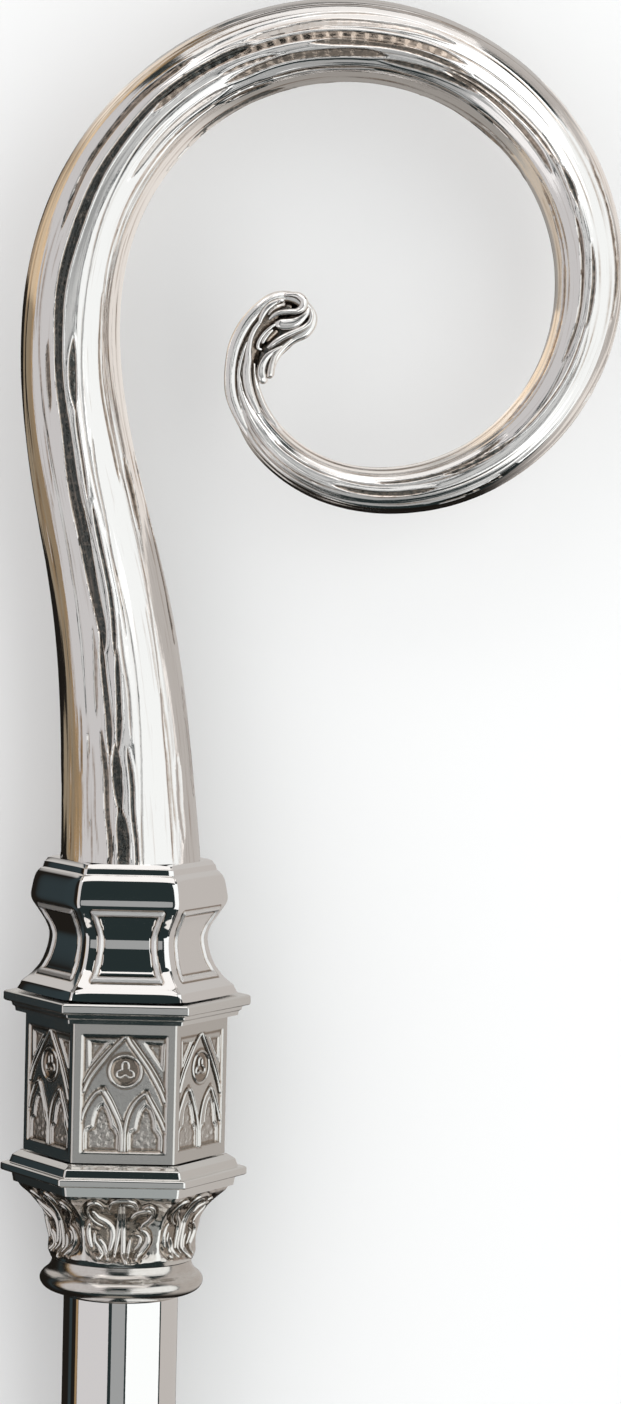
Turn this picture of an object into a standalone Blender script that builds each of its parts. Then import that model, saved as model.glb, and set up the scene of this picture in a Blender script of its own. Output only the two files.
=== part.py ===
"""A bishop's crosier in silver-plated brass, lying at rest on a flat surface.

A tapering crook with long bark-like strips ends in a curled leaf. It stands on a six-sided knop of
stacked castings: a waisted crown, a cornice, a drum with tracery panels, a second cornice and a
leaf capital. A turned neck ring, a plain round shaft and a turned foot finish the staff.

Sizes are in millimetres. Every piece is modelled in the staff's own frame: +Y runs along the shaft
towards the crook, the crook bends towards +X, and heights are measured along Y from the joint
between knop and crook. lay_down() then tips the whole staff by about half a degree, so that it
rests on one flat of the knop's lower cornice and on the bead of its foot.
"""

import math

import bmesh
import bpy
from mathutils import Matrix, Vector

MM = 0.001
GAP = 0.3

# the whole staff
STAFF_LENGTH = 1800.0
SHAFT_RADIUS = 14.0
ROUND_SIDES = 28

# crook, from the knop to the leaf's tip: distance along its centreline, bend (1 / bend radius, left
# is positive), half width in the crook's plane and half depth across it
CROOK_STATIONS = (
    (0, 0.0, 17.1, 17.1),
    (60, 1 / 230, 14.3, 14.3),
    (120, -1 / 124, 12.3, 12.3),
    (160, -1 / 68, 11.2, 11.2),
    (250, -1 / 62, 9.8, 9.8),
    (330, -1 / 54, 8.3, 8.3),
    (400, -1 / 48, 5.9, 5.9),
    (455, -1 / 28, 4.1, 4.2),
    (474, -1 / 9, 3.3, 4.2),
    (480, -1 / 5.8, 2.9, 4.6),
    (486, -1 / 5.4, 3.1, 5.0),
    (492, -1 / 60, 3.2, 4.8),
    (500, 1 / 18, 2.9, 4.3),
    (507, 1 / 15, 1.9, 3.2),
)
CROOK_START_HEADING = math.radians(93.0)
BAR_LENGTH = 455
BAR_STEP = 7.0
LEAF_STEP = 2.0
CROOK_SIDES = 16
STRIP_COUNT = 4
STRIP_DEPTH = 0.35
STRIP_TWIST = math.radians(70)

# lobes of the leaf, inside its curl: root and tip measured from the curl's eye, width, depth
EYE_PLACE = 484.0
EYE_REACH = 5.6
LEAF_LOBES = (
    ((4.6, 0.6), (-5.8, -0.9), 3.8, 6.6),
    ((2.8, -2.0), (-6.8, -7.6), 5.2, 7.4),
    ((0.6, -3.6), (-4.2, -15.0), 5.0, 6.2),
)
LOBE_PROFILE = ((0.0, 0.5), (0.2, 0.85), (0.45, 1.0), (0.7, 0.92), (0.9, 0.6), (1.0, 0.2))
LOBE_SIDES = 10

# knop: corner radius and height of each level, from the crook downwards
CROWN_PLATE = ((20.2, 0.0), (20.9, -0.8), (21.2, -1.0), (21.6, -2.4), (22.1, -2.6))
CROWN_WAIST = ((23.0, -3.6), (23.6, -4.9), (24.2, -7.6), (24.4, -9.2), (24.2, -10.6), (22.9, -12.6),
               (21.4, -14.0), (20.3, -15.6), (19.7, -17.6), (19.8, -19.6), (20.4, -22.7),
               (21.7, -25.7), (24.1, -28.6), (25.7, -29.9))
CROWN_LIP = ((26.3, -30.4), (26.6, -31.2), (27.0, -32.6))
FRAME_TOP = -10.9
FRAME_BOTTOM = -28.2
FRAME_MARGIN = 2.8
FRAME_WIDTH = 1.4
FRAME_HEIGHT = 0.5
UPPER_CORNICE = ((29.7, -32.9), (30.2, -33.3), (30.2, -35.1), (29.7, -35.4), (28.3, -35.5),
                 (28.0, -36.6), (27.4, -36.8), (27.2, -37.9))
DRUM_RADIUS = 24.7
DRUM_TOP = -38.2
DRUM_BOTTOM = -71.8
LOWER_CORNICE = ((25.6, -72.1), (26.0, -72.5), (27.9, -73.6), (28.2, -74.0), (28.1, -75.0),
                 (29.7, -75.0), (30.2, -75.4), (30.2, -76.8), (29.7, -77.1), (27.5, -77.2),
                 (27.0, -79.7))
CAPITAL_LEVELS = ((25.8, -80.0), (25.2, -80.9), (23.3, -82.5), (21.5, -84.2), (20.1, -86.0),
                  (19.1, -88.0), (18.6, -90.1), (18.2, -92.3), (18.1, -94.3), (18.1, -95.8),
                  (17.4, -97.7))
NECK_RING = ((17.0, -98.0), (17.2, -99.2), (18.0, -100.5), (19.2, -101.5), (19.9, -102.6),
             (19.9, -103.6), (19.2, -104.8), (17.8, -105.7), (15.9, -106.2), (14.2, -106.4))
SHAFT_TOP = -106.7

# tracery panel on each face of the drum
PANEL_WIDTH = 20.8
PANEL_HEIGHT = 28.8
PANEL_DEPTH = 1.0
PANEL_CENTRE = -55.1
ARC_STEPS = 3
ARCH = {"half width": 11.0, "spring": 13.2, "apex": 29.2, "sag": 1.1, "band": 1.4, "crown": 1.8,
        "set back": 0.15}
LANCET = {"half width": 5.4, "spring": 6.6, "apex": 15.2, "sag": 1.2, "band": 0.95, "crown": 1.6,
          "set back": 0.25}
LANCET_CENTRE = 5.14
ROUNDEL_CENTRE = 20.2
ROUNDEL_RADIUS = 4.0
ROUNDEL_BAND = 0.85
ROUNDEL_SIDES = 10
ROUNDEL_SET_BACK = 0.3
OPENING_HALF = 3.7
OPENING_SHOULDER = 6.0
OPENING_NECK = 2.2
OPENING_HEAD = 8.2
OPENING_APEX = 12.0
OPENING_SILL = 0.05
OPENING_DEPTH = 0.5

# capital: six carved leaves, one to a face. Each swelling is (place across, half width, place down,
# half length, height), with places as shares of the half face and of the capital's height
CAPITAL_COLUMNS = 10
LEAF_RELIEF = 0.9
LEAF_RIB = (0.0, 0.16, 0.55, 0.6, 0.75)
LEAF_HOOD = (0.0, 0.36, 0.2, 0.16, 1.0)
LEAF_SIDES = (
    (0.62, 0.24, 0.3, 0.17, 1.0),
    (0.38, 0.17, 0.58, 0.3, 0.9),
    (0.66, 0.17, 0.72, 0.18, 0.8),
)
ROUND_FROM = -93.5
ROUND_TO = -96.8

# foot
FOOT_LENGTH = 62.0
FOOT_PROFILE = ((14.2, 62.0), (15.9, 61.0), (16.4, 59.6), (15.9, 58.2), (14.6, 57.0), (13.7, 21.0),
                (15.4, 17.0), (15.4, 10.0), (13.8, 3.4), (11.6, 0.7), (10.4, 0.0))


def metal(name, colour, roughness):
    """A plain metal finish."""
    material = bpy.data.materials.new(name)
    material.use_nodes = True
    shader = material.node_tree.nodes["Principled BSDF"]
    shader.inputs["Base Color"].default_value = (*colour, 1.0)
    shader.inputs["Metallic"].default_value = 1.0
    shader.inputs["Roughness"].default_value = roughness
    return material


def add_object(name, mesh_tools, material, parent):
    """Turn a bmesh drawn in millimetres into a named object in metres."""
    bmesh.ops.scale(mesh_tools, vec=(MM, MM, MM), verts=mesh_tools.verts)
    bmesh.ops.recalc_face_normals(mesh_tools, faces=mesh_tools.faces)
    mesh = bpy.data.meshes.new(name)
    mesh_tools.to_mesh(mesh)
    mesh_tools.free()
    mesh.materials.append(material)
    shaped = bpy.data.objects.new(name, mesh)
    bpy.context.scene.collection.objects.link(shaped)
    shaped.parent = parent
    return shaped


def loft(mesh_tools, rings):
    """Join rings of points into a skin, with a cap at both ends."""
    rows = [[mesh_tools.verts.new(point) for point in ring] for ring in rings]
    count = len(rows[0])
    for lower, upper in zip(rows, rows[1:]):
        for side in range(count):
            following = (side + 1) % count
            corners = (lower[side], lower[following], upper[following], upper[side])
            mesh_tools.faces.new(corners)
    mesh_tools.faces.new(rows[0])
    mesh_tools.faces.new(list(reversed(rows[-1])))


def ring_point(radius, angle, height):
    """A point round the staff's axis. Angle 0 is at +X and a quarter turn on is at +Z."""
    return Vector((radius * math.cos(angle), height, radius * math.sin(angle)))


def lathe_ring(radius, height, sides):
    return [ring_point(radius, math.tau * side / sides, height) for side in range(sides)]


def hexagon_stack(name, levels, material, parent):
    """A six-sided moulding with a corner at +X."""
    shape = bmesh.new()
    loft(shape, [lathe_ring(radius, height, 6) for radius, height in levels])
    return add_object(name, shape, material, parent)


def turned(name, levels, material, parent):
    shape = bmesh.new()
    loft(shape, [lathe_ring(radius, height, ROUND_SIDES) for radius, height in levels])
    turned_object = add_object(name, shape, material, parent)
    turned_object.data.shade_smooth()
    turned_object.data.set_sharp_from_angle(angle=math.radians(35))
    return turned_object


def between(stations, distance, column):
    """Read one column of a station table by straight-line interpolation."""
    for before, after in zip(stations, stations[1:]):
        if distance <= after[0]:
            share = (distance - before[0]) / (after[0] - before[0])
            return before[column] + share * (after[column] - before[column])
    return stations[-1][column]


def bent_line(stations, heading, distances):
    """Follow the bend table from the origin. Gives (distance, point, heading) at each distance."""
    fine = 10
    point = Vector((0, 0, 0))
    places = [(distances[0], point.copy(), heading)]
    for before, after in zip(distances, distances[1:]):
        length = (after - before) / fine
        for part in range(fine):
            turn = between(stations, before + (part + 0.5) * length, 1) * length
            heading += turn
            along = heading - turn / 2
            point += Vector((math.cos(along), math.sin(along), 0)) * length
        places.append((after, point.copy(), heading))
    return places


def evenly(start, end, step):
    count = round((end - start) / step)
    return [start + (end - start) * index / count for index in range(count)]


def section(point, heading, half_width, half_depth, sides, wobble=None):
    """An oval ring square to the heading: half_width lies in the crook's plane."""
    across = Vector((math.sin(heading), -math.cos(heading), 0))
    ring = []
    for side in range(sides):
        angle = math.tau * side / sides
        grow = 1.0 if wobble is None else wobble(angle)
        offset = across * math.cos(angle) * half_width + Vector((0, 0, 1)) * math.sin(angle) * half_depth
        ring.append(point + offset * grow)
    return ring


def strip_height(angle, distance, radius):
    """The broad strips that run along the crook, as a growth of its radius."""
    turn = STRIP_TWIST * distance / BAR_LENGTH
    fade = min(1.0, distance / 8.0) * max(0.0, min(1.0, (BAR_LENGTH - distance) / 30.0))
    return 1.0 + fade * STRIP_DEPTH / radius * math.sin(STRIP_COUNT * (angle + turn))


def join_solids(base, bodies):
    """Unite overlapping closed bodies into one."""
    for body in bodies:
        union = base.modifiers.new("join " + body.name, "BOOLEAN")
        union.operation = "UNION"
        union.solver = "EXACT"
        union.use_self = True
        union.object = body
        body.hide_render = True
        body.display_type = "WIRE"
    return base


def make_crook(material, parent):
    """The bar and the leaf it curls into, united with the leaf's lobes into one casting."""
    distances = evenly(0, BAR_LENGTH, BAR_STEP) + evenly(BAR_LENGTH, CROOK_STATIONS[-1][0], LEAF_STEP)
    line = bent_line(CROOK_STATIONS, CROOK_START_HEADING, distances + [CROOK_STATIONS[-1][0]])
    rings = []
    for distance, point, heading in line:
        half_width = between(CROOK_STATIONS, distance, 2)
        half_depth = between(CROOK_STATIONS, distance, 3)
        if distance == 0:
            heading = math.pi / 2

        def wobble(angle, distance=distance, radius=half_width):
            return strip_height(angle, distance, radius)

        rings.append(section(point, heading, half_width, half_depth, CROOK_SIDES, wobble))
    shape = bmesh.new()
    loft(shape, rings)
    crook = add_object("crook", shape, material, parent)
    return join_solids(crook, leaf_lobes(line, material, parent))


def leaf_lobes(line, material, parent):
    """Blunt lobes that fill the curl on the leaf's inner side, each from a root to a tip."""
    distance, point, heading = min(line, key=lambda stop: abs(stop[0] - EYE_PLACE))
    eye = point + Vector((math.sin(heading), -math.cos(heading), 0)) * EYE_REACH
    lobes = []
    for number, (root, tip, width, depth) in enumerate(LEAF_LOBES):
        start = eye + Vector((*root, 0))
        way = eye + Vector((*tip, 0)) - start
        heading = math.atan2(way.y, way.x)
        rings = []
        for share, swell in LOBE_PROFILE:
            rings.append(section(start + way * share, heading, swell * width / 2, swell * depth / 2,
                                 LOBE_SIDES))
        shape = bmesh.new()
        loft(shape, rings)
        lobes.append(add_object(f"leaf_lobe_{number + 1}", shape, material, parent))
    return lobes


def crown_columns(radius, frame):
    """Places across one face, as (share of the half width, lift), from corner to corner."""
    half = radius / 2
    outer = 1 - FRAME_MARGIN / half
    crest = 1 - (FRAME_MARGIN + FRAME_WIDTH / 2) / half
    inner = 1 - (FRAME_MARGIN + FRAME_WIDTH) / half
    crest_lift = 0.0 if frame == "none" else FRAME_HEIGHT
    field_lift = FRAME_HEIGHT if frame == "rail" else 0.0
    left = [(-1.0, 0.0), (-outer, 0.0), (-crest, crest_lift), (-inner, field_lift)]
    return left + [(-share, lift) for share, lift in reversed(left[1:])]


def crown_ring(radius, height, slope, frame):
    """One level of the crown, its six faces divided where the raised frames begin and end."""
    points = []
    apothem = radius * math.cos(math.pi / 6)
    for face in range(6):
        middle = math.tau * (face + 0.5) / 6
        outward = ring_point(1, middle, 0)
        sideways = ring_point(1, middle + math.pi / 2, 0)
        lift_way = outward * math.cos(slope) + Vector((0, math.sin(slope), 0))
        for share, lift in crown_columns(radius, frame):
            base = outward * apothem + sideways * share * radius / 2 + Vector((0, height, 0))
            points.append(base + lift_way * lift)
    return points


def make_crown(material, parent):
    """The waisted collar: top plate, bulge, hollow waist with raised frames, and lip."""
    outline = CROWN_PLATE + CROWN_WAIST + CROWN_LIP
    levels = []
    for radius, height in outline:
        framed = FRAME_BOTTOM + FRAME_WIDTH < height < FRAME_TOP - FRAME_WIDTH
        levels.append((radius, height, "sides" if framed else "none"))
    for edge, way in ((FRAME_TOP, -1), (FRAME_BOTTOM, 1)):
        for drop, frame in ((0, "none"), (FRAME_WIDTH / 2, "rail"), (FRAME_WIDTH, "sides")):
            height = edge + way * drop
            levels.append((outline_radius(outline, height), height, frame))
    levels.sort(key=lambda level: -level[1])
    shape = bmesh.new()
    rings = []
    for radius, height, frame in levels:
        spread = outline_radius(outline, height - 0.4) - outline_radius(outline, height + 0.4)
        slope = 0.0 if frame == "none" else math.atan2(spread, 0.8)
        rings.append(crown_ring(radius, height, slope, frame))
    loft(shape, rings)
    return add_object("knop_crown", shape, material, parent)


def outline_radius(outline, height):
    """The corner radius of an outline at a height."""
    for upper, lower in zip(outline, outline[1:]):
        if upper[1] >= height > lower[1]:
            share = (upper[1] - height) / (upper[1] - lower[1])
            return upper[0] + share * (lower[0] - upper[0])
    return outline[0][0] if height >= outline[0][1] else outline[-1][0]


def arc(start, end, sag, steps=ARC_STEPS):
    """Points from start to end on an arc that bulges by sag to the left of the way."""
    start = Vector(start)
    end = Vector(end)
    chord = end - start
    left = Vector((-chord.y, chord.x)).normalized()
    points = []
    for index in range(steps + 1):
        share = index / steps
        points.append(start + chord * share + left * sag * 4 * share * (1 - share))
    return points


def prism(outline, back, front):
    """A closed prism in panel space: x across, y up and z out of the face."""
    shape = bmesh.new()
    loft(shape, [[Vector((point[0], point[1], depth)) for point in outline] for depth in (back, front)])
    bmesh.ops.recalc_face_normals(shape, faces=shape.faces)
    return shape


def pointed_outline(half_width, spring, apex, sag, bottom):
    """A pointed arch over straight jambs, as a closed outline."""
    left = arc((-half_width, spring), (0, apex), sag)
    right = arc((0, apex), (half_width, spring), sag)
    return [Vector((half_width, bottom)), Vector((-half_width, bottom))] + left + right[1:]


def shouldered_outline():
    """A lancet opening with shoulders below its pointed head."""
    slope = 0.5
    drop = 1.1
    head_sag = 0.45
    left = [(-OPENING_HALF, OPENING_SHOULDER - drop), (slope - OPENING_HALF, OPENING_SHOULDER),
            (-OPENING_NECK, OPENING_SHOULDER + slope)]
    right = [(-x, y) for x, y in reversed(left)]
    head_left = arc((-OPENING_NECK, OPENING_HEAD), (0, OPENING_APEX), head_sag, 2)
    head_right = arc((0, OPENING_APEX), (OPENING_NECK, OPENING_HEAD), head_sag, 2)
    sill = [(OPENING_HALF, OPENING_SILL), (-OPENING_HALF, OPENING_SILL)]
    return [Vector(point) for point in [*sill, *left, *head_left, *head_right[1:], *right]]


def circle_outline(centre, radius, sides):
    outline = []
    for side in range(sides):
        angle = math.tau * side / sides
        outline.append(Vector((radius * math.cos(angle), centre + radius * math.sin(angle))))
    return outline


def shifted(outline, across):
    return [Vector((point.x + across, point.y)) for point in outline]


def scratch_object(name, shape):
    """An object for cutting only. It takes no part in the model."""
    mesh = bpy.data.meshes.new(name)
    shape.to_mesh(mesh)
    shape.free()
    tool = bpy.data.objects.new(name, mesh)
    bpy.context.scene.collection.objects.link(tool)
    tool.hide_render = True
    tool.display_type = "WIRE"
    return tool


def combine(base, tools, operation):
    """Apply a boolean for each tool and remove the tools."""
    for tool in tools:
        modifier = base.modifiers.new(tool.name, "BOOLEAN")
        modifier.operation = operation
        modifier.solver = "EXACT"
        modifier.object = tool
    graph = bpy.context.evaluated_depsgraph_get()
    cut = bpy.data.meshes.new_from_object(base.evaluated_get(graph))
    base.modifiers.clear()
    base.data = cut
    for tool in tools:
        bpy.data.objects.remove(tool)
    return base


def moulded_arch(name, sizes, across):
    """The roll of a pointed arch, standing from the panel's ground nearly to the drum's face."""
    behind = -2 * PANEL_DEPTH
    outline = pointed_outline(sizes["half width"], sizes["spring"], sizes["apex"], sizes["sag"], -1)
    opening = pointed_outline(sizes["half width"] - sizes["band"], sizes["spring"],
                              sizes["apex"] - sizes["crown"], sizes["sag"], -2)
    roll = scratch_object(name, prism(shifted(outline, across), behind, -sizes["set back"]))
    inside = scratch_object(name + " inside", prism(shifted(opening, across), behind - 1, 1))
    return combine(roll, [inside], "DIFFERENCE")


def panel_recess():
    """The hollow of one tracery panel: the sunk ground less the mouldings that stand in it."""
    half = PANEL_WIDTH / 2
    behind = -2 * PANEL_DEPTH
    ground = [(-half, 0), (half, 0), (half, PANEL_HEIGHT), (-half, PANEL_HEIGHT)]
    recess = scratch_object("recess", prism(ground, -PANEL_DEPTH, 1))
    mouldings = [moulded_arch("arch", ARCH, 0)]
    for way in (-1, 1):
        mouldings.append(moulded_arch("lancet", LANCET, way * LANCET_CENTRE))
    rim = circle_outline(ROUNDEL_CENTRE, ROUNDEL_RADIUS, ROUNDEL_SIDES)
    hole = circle_outline(ROUNDEL_CENTRE, ROUNDEL_RADIUS - ROUNDEL_BAND, ROUNDEL_SIDES)
    ring = scratch_object("ring", prism(rim, behind, -ROUNDEL_SET_BACK))
    mouldings.append(combine(ring, [scratch_object("hole", prism(hole, behind - 1, 1))], "DIFFERENCE"))
    combine(recess, mouldings, "DIFFERENCE")

    floor = -PANEL_DEPTH - OPENING_DEPTH
    overlap = 0.2
    openings = []
    for way in (-1, 1):
        outline = shifted(shouldered_outline(), way * LANCET_CENTRE)
        openings.append(scratch_object("opening", prism(outline, floor, overlap - PANEL_DEPTH)))
    return combine(recess, openings, "UNION")


def make_drum(material, parent):
    """The six-sided drum with a tracery panel sunk in each face."""
    shape = bmesh.new()
    loft(shape, [lathe_ring(DRUM_RADIUS, height, 6) for height in (DRUM_TOP, DRUM_BOTTOM)])
    drum = add_object("tracery_drum", shape, material, parent)
    recess = panel_recess()
    apothem = DRUM_RADIUS * math.cos(math.pi / 6)
    cutters = bmesh.new()
    for face in range(6):
        middle = math.tau * (face + 0.5) / 6
        outward = ring_point(1, middle, 0)
        upward = Vector((0, 1, 0))
        across = upward.cross(outward)
        turn = Matrix((across, upward, outward)).transposed().to_4x4()
        place = Matrix.Translation(outward * apothem + upward * (PANEL_CENTRE - PANEL_HEIGHT / 2))
        copy = recess.data.copy()
        copy.transform(Matrix.Scale(MM, 4) @ place @ turn)
        cutters.from_mesh(copy)
        bpy.data.meshes.remove(copy)
    bpy.data.objects.remove(recess)
    tool = scratch_object("panel_cutters", cutters)
    tool.parent = parent
    cut = drum.modifiers.new("panels", "BOOLEAN")
    cut.operation = "DIFFERENCE"
    cut.solver = "EXACT"
    cut.object = tool
    return drum


def swelling(offset, width):
    """A smooth bump: 1 at the middle and 0 from one width away."""
    return max(0.0, math.cos(min(1.0, abs(offset) / width) * math.pi / 2)) ** 1.2


def leaf_lift(share, drop):
    """Relief of one capital leaf: share runs -1 to 1 across the face and drop 0 to 1 down it."""
    lift = 0.0
    for place, (across, half_width, down, half_length, height) in (
            [(share, LEAF_RIB), (share, LEAF_HOOD)] + [(abs(share), side) for side in LEAF_SIDES]):
        bump = swelling(place - across, half_width) * swelling(drop - down, half_length)
        lift = max(lift, height * bump)
    return LEAF_RELIEF * lift


def make_capital(material, parent):
    """A bell that turns from a hexagon above to a circle at the neck, with six carved leaves."""
    shape = bmesh.new()
    rings = []
    top = CAPITAL_LEVELS[0][1]
    bottom = CAPITAL_LEVELS[-1][1]
    half_face = math.pi / 6
    for radius, height in CAPITAL_LEVELS:
        drop = (top - height) / (top - bottom)
        turn = min(1.0, max(0.0, (height - ROUND_FROM) / (ROUND_TO - ROUND_FROM)))
        roundness = turn * turn * (3 - 2 * turn)
        ring = []
        for step in range(6 * CAPITAL_COLUMNS):
            angle = math.tau * step / (6 * CAPITAL_COLUMNS)
            off_middle = angle % (2 * half_face) - half_face
            flat = radius * math.cos(half_face) / math.cos(off_middle)
            reach = flat + (radius - flat) * roundness
            share = math.tan(off_middle) / math.tan(half_face)
            ring.append(ring_point(reach + leaf_lift(share, drop), angle, height))
        rings.append(ring)
    loft(shape, rings)
    return add_object("leaf_capital", shape, material, parent)


def lay_down(staff, knop, foot, everything):
    """Tip the staff so that its knop and its foot both rest on the ground plane."""
    tip = 0.0
    length = max(point.y for point in knop) - min(point.y for point in foot)
    for _ in range(20):
        turn = Matrix.Rotation(tip, 3, "X")
        foot_low = min((turn @ point).z for point in foot)
        knop_low = min((turn @ point).z for point in knop)
        tip += (foot_low - knop_low) / length
    placed = [turn @ point for point in everything]
    low = Vector([min(point[axis] for point in placed) for axis in range(3)])
    high = Vector([max(point[axis] for point in placed) for axis in range(3)])
    middle = (low + high) / 2
    staff.rotation_euler = turn.to_euler()
    staff.location = (-middle.x, -middle.y, -low.z)


def evaluated_points(shaped):
    """The corners of a finished piece in the staff's frame, in metres."""
    graph = bpy.context.evaluated_depsgraph_get()
    mesh = shaped.evaluated_get(graph).to_mesh()
    return [corner.co.copy() for corner in mesh.vertices]


def build():
    for old in list(bpy.data.objects):
        bpy.data.objects.remove(old)
    staff = bpy.data.objects.new("staff", None)
    bpy.context.scene.collection.objects.link(staff)

    crook = make_crook(metal("bark_silver", (0.83, 0.81, 0.78), 0.18), staff)
    crook_top = max(point.y for point in evaluated_points(crook)) / MM
    foot_tip = crook_top - STAFF_LENGTH
    pieces = [
        crook,
        make_crown(metal("polished_crown_silver", (0.84, 0.82, 0.8), 0.08), staff),
        hexagon_stack("upper_cornice", UPPER_CORNICE, metal("cornice_silver", (0.8, 0.79, 0.77), 0.12),
                      staff),
        make_drum(metal("matted_silver", (0.62, 0.6, 0.57), 0.3), staff),
        make_capital(metal("carved_silver", (0.66, 0.63, 0.58), 0.25), staff),
        turned("neck_ring", NECK_RING, metal("ring_silver", (0.82, 0.8, 0.77), 0.15), staff),
        turned("shaft", ((SHAFT_RADIUS, SHAFT_TOP), (SHAFT_RADIUS, foot_tip + FOOT_LENGTH + GAP)),
               metal("shaft_silver", (0.86, 0.84, 0.83), 0.06), staff),
    ]
    cornice = hexagon_stack("lower_cornice", LOWER_CORNICE,
                            metal("lower_cornice_silver", (0.8, 0.79, 0.77), 0.12), staff)
    foot_levels = [(radius, foot_tip + height) for radius, height in FOOT_PROFILE]
    foot = turned("foot_ferrule", foot_levels, metal("foot_silver", (0.82, 0.8, 0.78), 0.12), staff)
    everything = [point for piece in pieces + [cornice, foot] for point in evaluated_points(piece)]
    lay_down(staff, evaluated_points(cornice), evaluated_points(foot), everything)


build()
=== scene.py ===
"""A bishop's crosier in polished silver plate: the surface of every piece, the floor and the light.

Lengths are in millimetres in the staff's own frame, as a silversmith would draw it: +Y runs up the
staff towards the crook, the crook bends towards +X, +Z is the side that faces up, and heights are
measured along Y from the joint between knop and crook. STAFF carries that frame onto the model.
"""
import math

import bmesh
import bpy
import numpy as np
from mathutils import Matrix, Vector


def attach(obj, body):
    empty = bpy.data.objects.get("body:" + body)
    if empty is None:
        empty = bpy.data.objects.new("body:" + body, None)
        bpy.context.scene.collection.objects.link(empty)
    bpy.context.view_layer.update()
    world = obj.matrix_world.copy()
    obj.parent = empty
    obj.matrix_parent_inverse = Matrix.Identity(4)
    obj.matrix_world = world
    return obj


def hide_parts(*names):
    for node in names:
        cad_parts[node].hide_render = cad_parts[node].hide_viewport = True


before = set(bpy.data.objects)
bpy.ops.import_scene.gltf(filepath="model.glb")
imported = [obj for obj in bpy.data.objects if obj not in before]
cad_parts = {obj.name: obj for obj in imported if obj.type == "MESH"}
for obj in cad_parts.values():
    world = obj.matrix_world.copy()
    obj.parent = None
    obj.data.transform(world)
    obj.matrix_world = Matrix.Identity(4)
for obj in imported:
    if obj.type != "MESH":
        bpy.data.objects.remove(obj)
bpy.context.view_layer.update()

MM = 0.001
SHAFT_TOP = -106.7
SHAFT_RADIUS = 14.0
FOOT_LENGTH = 62.0
FOOT_GAP = 0.3  # between the shaft's end and the foot
FACES = 6  # of the knop
HALF_FACE = math.pi / FACES  # half the angle that one face takes up round the staff
ROUND_SIDES = 128  # of a turned piece


def staff_matrix():
    """The staff's frame, found from the two ends of its shaft, as a matrix from mm to metres."""
    corners = np.array([corner.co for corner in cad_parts["shaft"].data.vertices])
    upper = corners[:, 1] > corners[:, 1].mean()
    ends = []
    for end in (corners[upper], corners[~upper]):
        ends.append(Vector((end.min(axis=0) + end.max(axis=0)) / 2))
    along = (ends[0] - ends[1]).normalized()
    across = Vector((1, 0, 0))
    outward = across.cross(along)
    origin = ends[0] - along * SHAFT_TOP * MM
    turn = Matrix((across, along, outward)).transposed().to_4x4()
    return Matrix.Translation(origin) @ turn @ Matrix.Scale(MM, 4), (ends[1] - origin).length / MM


STAFF, SHAFT_END = staff_matrix()
FOOT_TIP = -SHAFT_END - FOOT_GAP - FOOT_LENGTH


# ---------------------------------------------------------------- curves and patterns

def through(points, spacing):
    """A smooth curve through points, as an array. It is centripetal, so that it never loops."""
    points = np.array(points, float)
    lengths = np.linalg.norm(np.diff(points, axis=0), axis=1)
    knots = np.concatenate([[0], np.cumsum(np.sqrt(lengths))])
    places = np.linspace(0, knots[-1], int(lengths.sum() / spacing) + 2)
    return np.stack([eased(places, knots, values) for values in points.T], axis=1)


def eased(place, knots, values):
    """Values read between knots with a smooth slope, and held beyond the last one."""
    knots = np.asarray(knots, float)
    values = np.asarray(values, float)
    steps = np.diff(knots)
    rises = np.diff(values) / steps
    inner = (rises[:-1] * steps[1:] + rises[1:] * steps[:-1]) / (steps[:-1] + steps[1:])
    slopes = np.concatenate([[rises[0]], inner, [rises[-1]]])
    place = np.clip(place, knots[0], knots[-1])
    index = np.clip(np.searchsorted(knots, place, side="right") - 1, 0, len(steps) - 1)
    step = steps[index]
    share = (place - knots[index]) / step
    return (values[index] * (1 + 2 * share) * (1 - share) ** 2
            + values[index + 1] * share ** 2 * (3 - 2 * share)
            + slopes[index] * step * share * (1 - share) ** 2
            - slopes[index + 1] * step * share ** 2 * (1 - share))


def ramp(value, low, high):
    """0 below low, 1 above high and a soft step between."""
    share = np.clip((value - low) / (high - low), 0, 1)
    return share * share * (3 - 2 * share)


def roof(distance, half_width):
    """A raised line with straight slopes: 1 on its ridge, 0 from half_width away."""
    return np.clip(1 - np.abs(distance) / half_width, 0, 1)


def crease(distance, width):
    """A soft line: 1 on it, about a third of that at width from it and soon nothing beyond."""
    return np.exp(-(distance / width) ** 2)


def path_distance(path, across, up):
    """Distance from each place of a face to an open path of straight pieces."""
    nearest = np.full(across.shape, np.inf)
    for start, end in zip(path[:-1], path[1:]):
        way = end - start
        length = max(way @ way, 1e-12)
        share = np.clip(((across - start[0]) * way[0] + (up - start[1]) * way[1]) / length, 0, 1)
        gap = np.hypot(across - start[0] - share * way[0], up - start[1] - share * way[1])
        nearest = np.minimum(nearest, gap)
    return nearest


def outline_distance(outline, across, up):
    """Distance to a closed outline, negative inside it."""
    closed = np.vstack([outline, outline[:1]])
    inside = np.zeros(across.shape, bool)
    for start, end in zip(closed[:-1], closed[1:]):
        if start[1] == end[1]:
            continue
        crossing = (start[1] > up) != (end[1] > up)
        edge = start[0] + (up - start[1]) * (end[0] - start[0]) / (end[1] - start[1])
        inside ^= crossing & (across < edge)
    distance = path_distance(closed, across, up)
    return np.where(inside, -distance, distance)


LUMP_WAVES = 14


def lumps(places, size, seed):
    """Smooth random hollows and bumps, mostly between -1 and 1 and about size apart, at 3-D places."""
    rng = np.random.default_rng(seed)
    total = np.zeros(places.shape[:-1])
    for _ in range(LUMP_WAVES):
        way = rng.normal(size=3)
        way *= math.tau / (size * rng.uniform(1.4, 2.6)) / np.linalg.norm(way)
        total += np.sin(places @ way + rng.uniform(0, math.tau))
    return total / math.sqrt(LUMP_WAVES)


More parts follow.
